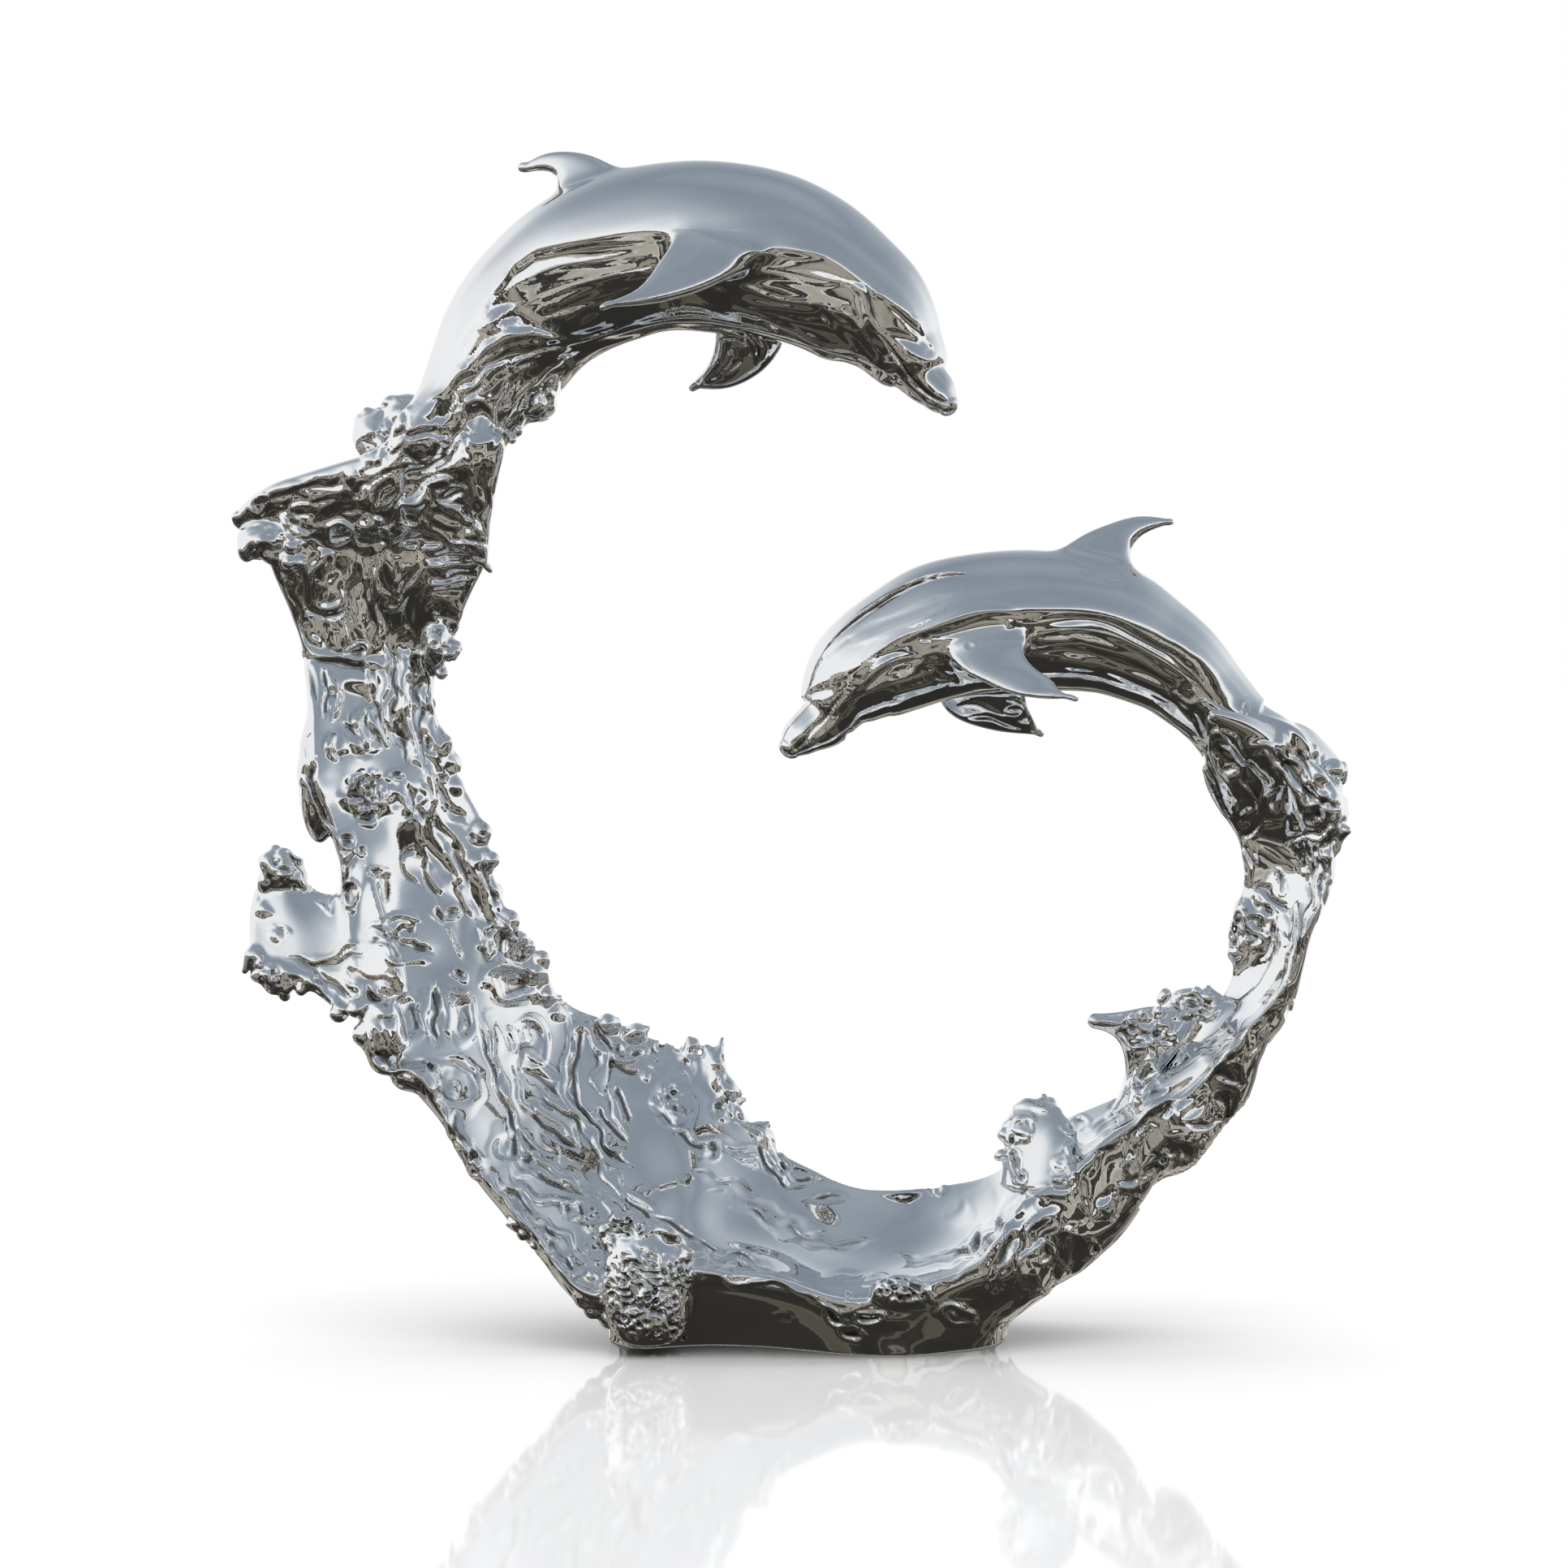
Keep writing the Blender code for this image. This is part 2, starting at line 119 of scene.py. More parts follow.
# Fins and flukes, root to tip: leading u, w, depth, trailing u, w, depth, half thickness (mm)
FINS = {
    "upper_dorsal": [(-186, 1412, -30, -290, 1375, -30, 17), (-230, 1445, -25, -288, 1404, -25, 13),
                     (-258, 1455, -20, -288, 1423, -20, 10), (-284, 1457, -15, -296, 1432, -15, 9),
                     (-306, 1453, -11, -310, 1434, -11, 8), (-324, 1444, -8, -324, 1432, -8, 6)],
    "upper_near_fin": [(-20, 1330, -95, -130, 1362, -90, 22), (-70, 1306, -124, -146, 1346, -120, 14),
                       (-125, 1283, -142, -166, 1318, -140, 11), (-175, 1272, -154, -190, 1290, -153, 9),
                       (-224, 1268, -164, -227, 1274, -164, 6)],
    "upper_far_fin": [(2, 1250, 10, -94, 1255, 15, 18), (-28, 1198, 38, -95, 1222, 40, 12),
                      (-58, 1176, 58, -102, 1200, 60, 10), (-92, 1167, 74, -114, 1184, 75, 9),
                      (-114, 1168, 82, -120, 1178, 82, 6)],
    "lower_dorsal": [(310, 950, -36, 425, 925, -32, 14), (352, 986, -28, 416, 954, -26, 11),
                     (389, 1002, -22, 418, 975, -21, 9), (427, 1012, -16, 436, 992, -16, 8),
                     (458, 1010, -12, 458, 1000, -12, 6)],
    "lower_near_fin": [(185, 850, -85, 290, 872, -80, 18), (210, 822, -112, 288, 844, -108, 12),
                       (240, 806, -128, 300, 826, -126, 10), (276, 793, -142, 322, 808, -140, 8),
                       (312, 788, -152, 328, 799, -151, 7), (340, 788, -158, 342, 793, -158, 5)],
    "lower_far_fin": [(175, 800, 10, 285, 810, 12, 14), (200, 765, 34, 290, 778, 36, 11),
                      (238, 751, 50, 296, 766, 51, 9), (266, 746, 60, 300, 757, 61, 8),
                      (298, 744, 68, 302, 752, 68, 5)],
    "upper_fluke_left": [(-490, 1096, -56, -480, 990, -22, 20), (-545, 1080, -50, -550, 992, -16, 14),
                         (-605, 1062, -40, -610, 994, -10, 11), (-655, 1040, -28, -650, 998, -4, 9),
                         (-680, 1018, -16, -672, 1000, -4, 7)],
    "upper_fluke_right": [(-384, 1116, -56, -480, 1000, -22, 22), (-354, 1098, -50, -440, 985, -24, 15),
                          (-360, 1060, -38, -425, 975, -22, 12), (-370, 1005, -24, -405, 965, -18, 10),
                          (-374, 955, -14, -380, 950, -14, 6)],
    "lower_fluke_near": [(596, 746, -48, 585, 690, -24, 16), (560, 766, -70, 547, 722, -50, 12),
                         (525, 774, -84, 521, 757, -78, 7)],
    "lower_fluke_far": [(572, 756, -6, 575, 684, -6, 18), (620, 758, 18, 617, 680, 14, 15),
                        (652, 740, 32, 657, 680, 28, 12), (676, 712, 40, 672, 680, 38, 8)],
}

# The wave's sheet, from under the lower dolphin round the base and up to the upper one:
# outer rim u, w, depth, inner rim u, w, depth, hollow (sag of the face), bulge behind, rim thickness
WAVE = [
    (640, 712, -34, 520, 740, -20, -4, 50, 16),
    (674, 672, -42, 508, 694, -4, -6, 66, 14),
    (665, 614, -30, 546, 618, 20, 4, 62, 10),
    (660, 554, -30, 556, 554, 22, 8, 56, 8),
    (632, 494, -38, 539, 494, 24, 10, 50, 8),
    (612, 439, -42, 539, 439, 28, 10, 50, 8),
    (582, 398, -48, 505, 392, 32, 10, 62, 8),
    (523, 336, -58, 455, 344, 40, 10, 78, 8),
    (462, 288, -68, 410, 300, 52, 12, 92, 8),
    (393, 247, -80, 347, 271, 66, 14, 106, 8),
    (341, 196, -94, 292, 234, 80, 16, 118, 8),
    (286, 160, -114, 250, 200, 94, 20, 124, 8),
    (238, 96, -134, 185, 184, 112, 28, 124, 8),
    (165, 60, -142, 115, 179, 122, 34, 130, 8),
    (65, 40, -144, 45, 198, 128, 38, 128, 8),
    (-25, 68, -142, -28, 236, 132, 38, 126, 8),
    (-85, 76, -139, -56, 266, 134, 36, 124, 8),
    (-140, 74, -134, -108, 338, 138, 34, 122, 8),
    (-238, 46, -112, -160, 364, 138, 32, 104, 8),
    (-314, 112, -92, -236, 394, 132, 28, 78, 8),
    (-385, 198, -72, -290, 426, 112, 24, 66, 8),
    (-426, 262, -58, -326, 483, 84, 20, 60, 8),
    (-500, 352, -46, -352, 531, 62, 16, 54, 8),
    (-545, 464, -22, -372, 587, 62, 12, 54, 8),
    (-556, 584, -12, -382, 639, 62, 8, 50, 8),
    (-588, 684, -14, -420, 709, 58, 4, 50, 10),
    (-594, 784, -2, -438, 784, 60, 0, 50, 10),
    (-605, 850, 14, -427, 846, 58, -4, 54, 10),
    (-632, 929, -6, -388, 929, 36, -6, 60, 14),
    (-636, 985, -22, -374, 996, 16, -4, 56, 14),
    (-594, 1026, -20, -404, 1036, 4, -4, 44, 14),
]

# The foot under the wave, in upright sections: u, then depths and heights (mm) of
# the front at the floor, the front at the rim, the back at the rim, the back at the floor
FOOT = [
    (-226, -24, -60, 46, 60, 60, 52),
    (-200, -54, -112, 66, 100, 120, 85),
    (-140, -48, -134, 90, 115, 160, 100),
    (-40, -46, -138, 86, 120, 130, 112),
    (25, -76, -140, 74, 120, 110, 115),
    (81, -106, -141, 62, 120, 100, 115),
    (140, -114, -140, 68, 118, 100, 110),
    (199, -84, -134, 90, 110, 110, 95),
    (234, -62, -118, 98, 98, 110, 78),
    (252, -40, -94, 88, 74, 92, 56),
    (266, -8, -52, 62, 44, 60, 34),
]

# Splash sheets that leave the wave, given like the fins
SPLASHES = {
    "left_splash": [(-480, 420, -30, -520, 560, 0, 16), (-548, 400, -26, -562, 548, 10, 12),
                    (-600, 430, -20, -600, 566, 18, 10), (-645, 450, -14, -636, 588, 24, 10),
                    (-662, 472, -10, -654, 560, 26, 8)],
    "right_splash": [(392, 276, 22, 490, 396, 14, 28), (408, 312, 12, 468, 406, 10, 21),
                     (410, 346, 0, 442, 408, 4, 15), (398, 370, -9, 412, 403, -6, 12),
                     (374, 380, -17, 378, 400, -15, 9)],
    "right_hump": [(560, 370, 18, 490, 345, 34, 20), (545, 412, 20, 455, 396, 36, 16), (512, 422, 22, 464, 416, 36, 10)],
    "block_splash": [(356, 170, -50, 256, 190, -26, 26), (352, 224, -48, 262, 240, -24, 20),
                     (348, 258, -44, 266, 266, -22, 15), (334, 276, -38, 272, 282, -18, 9)],
    "crest_spike": [(-130, 300, 132, -50, 240, 128, 14), (-118, 340, 134, -74, 312, 128, 12),
                    (-106, 350, 134, -82, 340, 130, 9), (-92, 360, 134, -84, 358, 132, 6)],
}

# Foam lumps: u, w, depth, three radii (mm), roughness (mm), and for a squarer one its power
LUMPS = {
    "front_foam": (-180, 64, -110, 53, 36, 75, 9, 2.8),
    "rim_foam": (132, 55, -142, 34, 16, 18, 5),
    "splash_top_foam": (-628, 576, 14, 24, 20, 24, 7),
    "splash_low_foam": (-634, 448, -8, 28, 18, 18, 7),
    "edge_foam_a": (-506, 376, -34, 28, 24, 40, 4),
    "edge_foam_b": (-462, 322, -40, 26, 22, 18, 5),
    "stock_foam": (-506, 1110, 0, 34, 36, 34, 6),
    "stock_foam_top": (-478, 1138, 0, 26, 32, 22, 4),
    "belly_foam": (-318, 1148, 0, 30, 34, 22, 6),
    "column_knob": (-440, 852, 44, 16, 18, 28, 4),
    "column_back": (-582, 694, 18, 27, 32, 84, 3),
    "tip_foam": (-650, 982, -10, 32, 24, 24, 3),
    "cup_foam": (654, 650, 10, 26, 36, 40, 6),
}




# ---------------------------------------------------------------- curves
def at(u, w, depth):
    """Elevation millimetres and depth to metres in the frame."""
    u, w, depth = (np.asarray(a, float) / 1000 for a in (u, w, depth))
    k = 1 + depth / EYE_DISTANCE
    return np.stack([u * k, depth, EYE_HEIGHT + (w - EYE_HEIGHT) * k], -1) + SHIFT


def elevation(p):
    """The frame back to elevation millimetres."""
    q = p - SHIFT
    k = 1 + q[:, 1] / EYE_DISTANCE
    return q[:, 0] / k * 1000, (EYE_HEIGHT + (q[:, 2] - EYE_HEIGHT) / k) * 1000


def spline(rows, knots, n):
    """A natural cubic spline through the rows at the knots, sampled n times evenly."""
    rows = np.asarray(rows, float)
    t = np.asarray(knots, float)
    h = np.diff(t)
    m = len(t)
    a = np.eye(m)
    b = np.zeros_like(rows)
    for i in range(1, m - 1):
        a[i, i - 1], a[i, i], a[i, i + 1] = h[i - 1], 2 * (h[i - 1] + h[i]), h[i]
        b[i] = 6 * ((rows[i + 1] - rows[i]) / h[i] - (rows[i] - rows[i - 1]) / h[i - 1])
    second = np.linalg.solve(a, b)
    s = np.linspace(t[0], t[-1], n)
    k = np.clip(np.searchsorted(t, s, "right") - 1, 0, m - 2)
    left, right, width = (s - t[k])[:, None], (t[k + 1] - s)[:, None], h[k][:, None]
    return (second[k] * right ** 3 + second[k + 1] * left ** 3) / (6 * width) \
        + (rows[k] / width - second[k] * width / 6) * right + (rows[k + 1] / width - second[k + 1] * width / 6) * left


def chord_knots(points):
    return np.concatenate([[0], np.cumsum(np.linalg.norm(np.diff(points, axis=0), axis=1))])


def unit(v):
    return v / np.maximum(np.linalg.norm(v, axis=-1, keepdims=True), 1e-12)


def dot(a, b):
    return np.einsum("ij,ij->i", a, b)


class Spine:
    """A dense table along a curve: centre, tangent and whatever else is carried, with a nearest-point search."""

    def __init__(self, centre, carried, near=64):
        self.n = len(centre)
        step = np.gradient(centre, axis=0)
        self.speed = np.linalg.norm(step, axis=1)
        self.table = np.hstack([centre, step / self.speed[:, None], self.speed[:, None], carried])
        self.pick = np.unique(np.linspace(0, self.n - 1, near).round().astype(int))
        self.low, self.high = centre.min(0), centre.max(0)

    def lerp(self, t, columns):
        i = np.minimum(t.astype(np.int64), self.n - 2)
        f = (t - i)[:, None]
        table = self.table[:, columns]
        return table[i] * (1 - f) + table[i + 1] * f

    def nearest(self, p):
        c = self.table[self.pick, :3]
        d2 = (c ** 2).sum(1)[None] - 2 * p @ c.T
        t = self.pick[np.argmin(d2, axis=1)].astype(float)
        for _ in range(5):
            row = self.lerp(t, slice(0, 7))
            t = np.clip(t + 0.9 * dot(p - row[:, :3], row[:, 3:6]) / row[:, 6], 0, self.n - 1)
        return t, self.lerp(t, slice(0, self.table.shape[1]))


def first_order(q, scales, power=2.0):
    """About the distance to the superellipsoid sum |q/s|^power = 1; q and scales are lists of arrays."""
    total = sum(np.abs(a / s) ** power for a, s in zip(q, scales))
    rho = np.maximum(total, 1e-9) ** (1 / power)
    grad2 = sum((np.abs(a / s) ** (power - 1) / s) ** 2 for a, s in zip(q, scales)) * rho ** (2 * (1 - power))
    return (rho - 1) / np.sqrt(np.maximum(grad2, 1e-9))


def smin(a, b, k):
    h = np.maximum(k - np.abs(a - b), 0) / k
    return np.minimum(a, b) - h ** 3 * k / 6


def smax(a, b, k):
    return -smin(-a, -b, k)


# ---------------------------------------------------------------- parts of the field
class Body:
    """A swept round form: elliptic across, rounded off at both ends."""

    def __init__(self, rows, blend, cap=0.012, power=2.0, n=1400):
        rows = np.array(rows, float)
        centres = at(*rows[:, :3].T)
        knots = chord_knots(centres)
        full = spline(np.hstack([centres, rows[:, 3:5] / 1000, np.radians(rows[:, 5:6])]), knots, n)
        c = full[:, :3]
        tangent = unit(np.gradient(c, axis=0))
        side = np.array([0, -1.0, 0]) - tangent * (-tangent[:, 1:2])
        side = unit(side)
        up = np.cross(tangent, side)
        up *= np.sign(up[:, 2:3].mean() if abs(up[:, 2].mean()) > 0.2 else 1.0)
        lean = full[:, 5:6]
        up2 = up * np.cos(lean) + side * np.sin(lean)
        side2 = side * np.cos(lean) - up * np.sin(lean)
        self.spine = Spine(c, np.hstack([up2, side2, full[:, 3:5]]), near=40)
        self.cap, self.power, self.blend = cap, power, blend
        pad = rows[:, 3:5].max() / 1000 + 0.06
        self.low, self.high = c.min(0) - pad, c.max(0) + pad

    def local(self, p):
        t, row = self.spine.nearest(p)
        d = p - row[:, :3]
        return t / (self.spine.n - 1), dot(d, row[:, 7:10]), dot(d, row[:, 10:13]), dot(d, row[:, 3:6]), row[:, 13], row[:, 14]

    def distance(self, p):
        t, up, side, along, high, wide = self.local(p)
        return first_order([up, side, along], [high, wide, np.full_like(up, self.cap)], self.power)


class Ruled:
    """Stations along a sheet given by its two edges: each point goes to the section line it lies on in elevation."""

    def __init__(self, first, second, carried, n, grid, reach):
        middle = (first + second) / 2
        full = spline(np.hstack([middle, (second - first) / 2, carried]), chord_knots(middle), n)
        c, half = full[:, :3], full[:, 3:6]
        tangent = unit(np.gradient(c, axis=0))
        length = np.maximum(np.linalg.norm(half, axis=1), 0.004)
        across = unit(half)
        face = unit(np.cross(across, tangent))
        out = np.cross(face, across)
        self.n = n
        self.table = np.hstack([c, across, face, out, length[:, None], full[:, 6:]])
        u, w = elevation(c)
        u2, w2 = elevation(c + half)
        line = np.stack([u2 - u, w2 - w], 1)
        size = np.maximum(np.linalg.norm(line, axis=1), 1.0)
        line = line / size[:, None]
        pad = reach * size.max()
        self.grid = grid
        self.u0, self.w0 = (u - size).min() - pad, (w - size).min() - pad
        gu = np.arange(self.u0, (u + size).max() + pad + grid, grid)
        gw = np.arange(self.w0, (w + size).max() + pad + grid, grid)
        pu, pw = (a.ravel() for a in np.meshgrid(gu, gw, indexing="ij"))
        some = np.unique(np.linspace(0, n - 1, max(n // 10, 12)).round().astype(int))
        found = np.empty(len(pu))
        for a in range(0, len(pu), 20000):
            du, dw = pu[a:a + 20000, None] - u[some], pw[a:a + 20000, None] - w[some]
            off = np.abs(line[some, 0] * dw - line[some, 1] * du)
            run = np.abs(line[some, 0] * du + line[some, 1] * dw) - 1.25 * size[some]
            found[a:a + 20000] = some[np.argmin(off + 1.5 * np.maximum(run, 0), axis=1)]
        for _ in range(3):
            low = np.clip(found.astype(int) - 2, 0, n - 5)
            high = low + 4
            f = [line[i, 0] * (pw - w[i]) - line[i, 1] * (pu - u[i]) for i in (low, high)]
            slope = np.where(np.abs(f[1] - f[0]) < 1e-6, 1e-6, f[1] - f[0])
            found = np.clip(found + np.clip(low - f[0] * 4 / slope - found, -30, 30), 0, n - 1)
        self.map = found.reshape(len(gu), len(gw))

    def local(self, p):
        """Station, and the table's row there, with the offsets across, out of the face and along."""
        u, w = elevation(p)
        x = np.clip((u - self.u0) / self.grid, 0, self.map.shape[0] - 1.001)
        y = np.clip((w - self.w0) / self.grid, 0, self.map.shape[1] - 1.001)
        i, j = x.astype(int), y.astype(int)
        f, g = x - i, y - j
        m = self.map
        t = (m[i, j] * (1 - f) + m[i + 1, j] * f) * (1 - g) + (m[i, j + 1] * (1 - f) + m[i + 1, j + 1] * f) * g
        k = np.minimum(t.astype(int), self.n - 2)
        h = (t - k)[:, None]
        row = self.table[k] * (1 - h) + self.table[k + 1] * h
        d = p - row[:, :3]
        along = dot(d, row[:, 9:12])
        beyond = np.where(t < 0.5, np.minimum(along, 0), np.where(t > self.n - 1.5, np.maximum(along, 0), 0))
        return row, dot(d, row[:, 3:6]), dot(d, row[:, 6:9]), beyond


class Blade:
    """A fin: elliptic section between its leading and trailing edges."""

    def __init__(self, rows, blend, power=2.0, cap=0.012):
        rows = np.array(rows, float)
        lead, trail = at(*rows[:, :3].T), at(*rows[:, 3:6].T)
        self.sheet = Ruled(lead, trail, rows[:, 6:7] / 1000, 400, 2.0, 0.35)
        self.blend, self.power, self.cap = blend, power, cap
        ends = np.vstack([lead, trail])
        self.low, self.high = ends.min(0) - 0.05, ends.max(0) + 0.05

    def distance(self, p):
        row, across, face, beyond = self.sheet.local(p)
        return first_order([across, face, beyond], [row[:, 12], np.maximum(row[:, 13], 0.003), np.full_like(face, self.cap)], self.power)


class Wave:
    """The hollow sheet between two rims, round behind."""

    def __init__(self, rows, blend):
        rows = np.array(rows, float)
        outer, inner = at(*rows[:, :3].T), at(*rows[:, 3:6].T)
        self.sheet = Ruled(outer, inner, rows[:, 6:9] / 1000, 2600, 4.0, 0.5)
        self.blend = blend
        ends = np.vstack([outer, inner])
        self.low, self.high = ends.min(0) - 0.16, ends.max(0) + 0.16

    def distance(self, p):
        row, across, face, beyond = self.sheet.local(p)
        length, sag, bulge, rim = row[:, 12], row[:, 13], row[:, 14], row[:, 15]
        v = across / length
        front = face - (sag * (np.minimum(v * v, 2.25) - 1) + rim * 0.5)
        front = front / np.sqrt(1 + (2 * sag * np.clip(v, -1.5, 1.5) / length) ** 2)
        back = first_order([across, np.minimum(face + rim * 0.5, 0), beyond],
                           [length, bulge, np.full_like(face, 0.04)], 2.3)
        return smax(front, back, 0.012)


class Foot:
    """The ground foot: a hull with a slanted front wall, a back wall and a slanted top."""

    def __init__(self, rows, blend):
        rows = np.array(rows, float)
        self.knots = rows[:, 0] / 1000 + SHIFT[0]
        self.rows = rows[:, 1:] / 1000
        self.table = spline(self.rows, self.knots, 400)
        self.blend = blend
        self.low = np.array([self.knots[0] - 0.06, -0.22, -0.06])
        self.high = np.array([self.knots[-1] + 0.06, 0.22, 0.26])

    def distance(self, p):
        x = np.clip((p[:, 0] - self.knots[0]) / (self.knots[-1] - self.knots[0]), 0, 1) * 399
        i = np.minimum(x.astype(int), 398)
        f = (x - i)[:, None]
        row = self.table[i] * (1 - f) + self.table[i + 1] * f
        y, z = p[:, 1] - SHIFT[1], p[:, 2]

        def beyond(y0, z0, y1, z1):
            dy, dz = y1 - y0, z1 - z0
            return ((y - y0) * -dz + (z - z0) * dy) / np.hypot(dy, dz)
        front = beyond(row[:, 0], -0.03, row[:, 1], row[:, 2])
        top = beyond(row[:, 1], row[:, 2], row[:, 3], row[:, 4])
        back = beyond(row[:, 3], row[:, 4], row[:, 5], -0.03)
        ends = np.maximum(self.knots[0] - p[:, 0], p[:, 0] - self.knots[-1])
        return smax(smax(smax(front, back, 0.03), top, 0.03), ends, 0.03)


class Lump:
    def __init__(self, u, w, depth, ru, rd, rw, rough, power=2.0, blend=0.012):
        self.centre = at(u, w, depth)
        self.radii = np.array([ru, rd, rw]) / 1000
        self.blend, self.power = blend, power
        self.low, self.high = self.centre - self.radii - 0.03, self.centre + self.radii + 0.03

    def distance(self, p):
        d = p - self.centre
        return first_order([d[:, i] for i in range(3)], [self.radii[i] for i in range(3)], self.power)


class Drop:
    """A tapered round drop between two points, and with no second point a ball."""

    def __init__(self, u, w, depth, r, u2=None, w2=None, depth2=None, r2=None, blend=0.010):
        self.a = at(u, w, depth)
        self.b = self.a if u2 is None else at(u2, w2, depth2)
        self.ra, self.rb = r / 1000, (r if r2 is None else r2) / 1000
        self.blend = blend
        pad = max(self.ra, self.rb) + 0.015
        self.low, self.high = np.minimum(self.a, self.b) - pad, np.maximum(self.a, self.b) + pad

    def distance(self, p):
        d, run = p - self.a, self.b - self.a
        h = np.clip(d @ run / max(run @ run, 1e-9), 0, 1)
        return np.linalg.norm(d - h[:, None] * run, axis=1) - (self.ra + (self.rb - self.ra) * h)


# ---------------------------------------------------------------- surface relief
def ripples(p, wavelength, seed, n=9):
    """Smooth isotropic noise of about one wavelength: a sum of plane waves."""
    rng = np.random.default_rng(seed)
    k = unit(rng.normal(size=(n, 3))) * (2 * math.pi / wavelength * rng.uniform(0.75, 1.3, n))[:, None]
    phase = rng.uniform(0, 2 * math.pi, n)
    total = np.zeros(len(p))
    for i in range(n):
        total += np.sin(p @ k[i] + phase[i])
    return total * math.sqrt(2 / n)


TURNED = np.linalg.qr(np.array([[0.9, 0.3, 0.5], [-0.2, 1.0, 0.4], [0.5, -0.6, 0.8]]))[0]   # a slant, so that no cells line up


def domes(p, size, seed):
    """Rounded cells of about one size, from about -0.5 in the seams to 0.5 on the crowns."""
    shift = np.random.default_rng(seed).uniform(-0.25, 0.25, (4096, 3))
    q = p @ TURNED / size
    base = np.floor(q - 0.5).astype(np.int64)
    total = np.zeros(len(p))
    for i in range(8):
        cell = base + np.array([i & 1, i >> 1 & 1, i >> 2])
        key = (cell[:, 0] * 131 + cell[:, 1] * 571 + cell[:, 2] * 1013) & 4095
        d = q - (cell + 0.5 + shift[key])
        total += np.exp(-9 * dot(d, d))
    return 0.5 + np.log(total) / 9 * 1.6



# The relief is drawn on a sheet laid over the front elevation: s to the right of u = -975, t down from w = 1644.
SHEET_S, SHEET_T = 975, 1644
S0, S1, T0, T1 = 270, 1690, 170, 1690

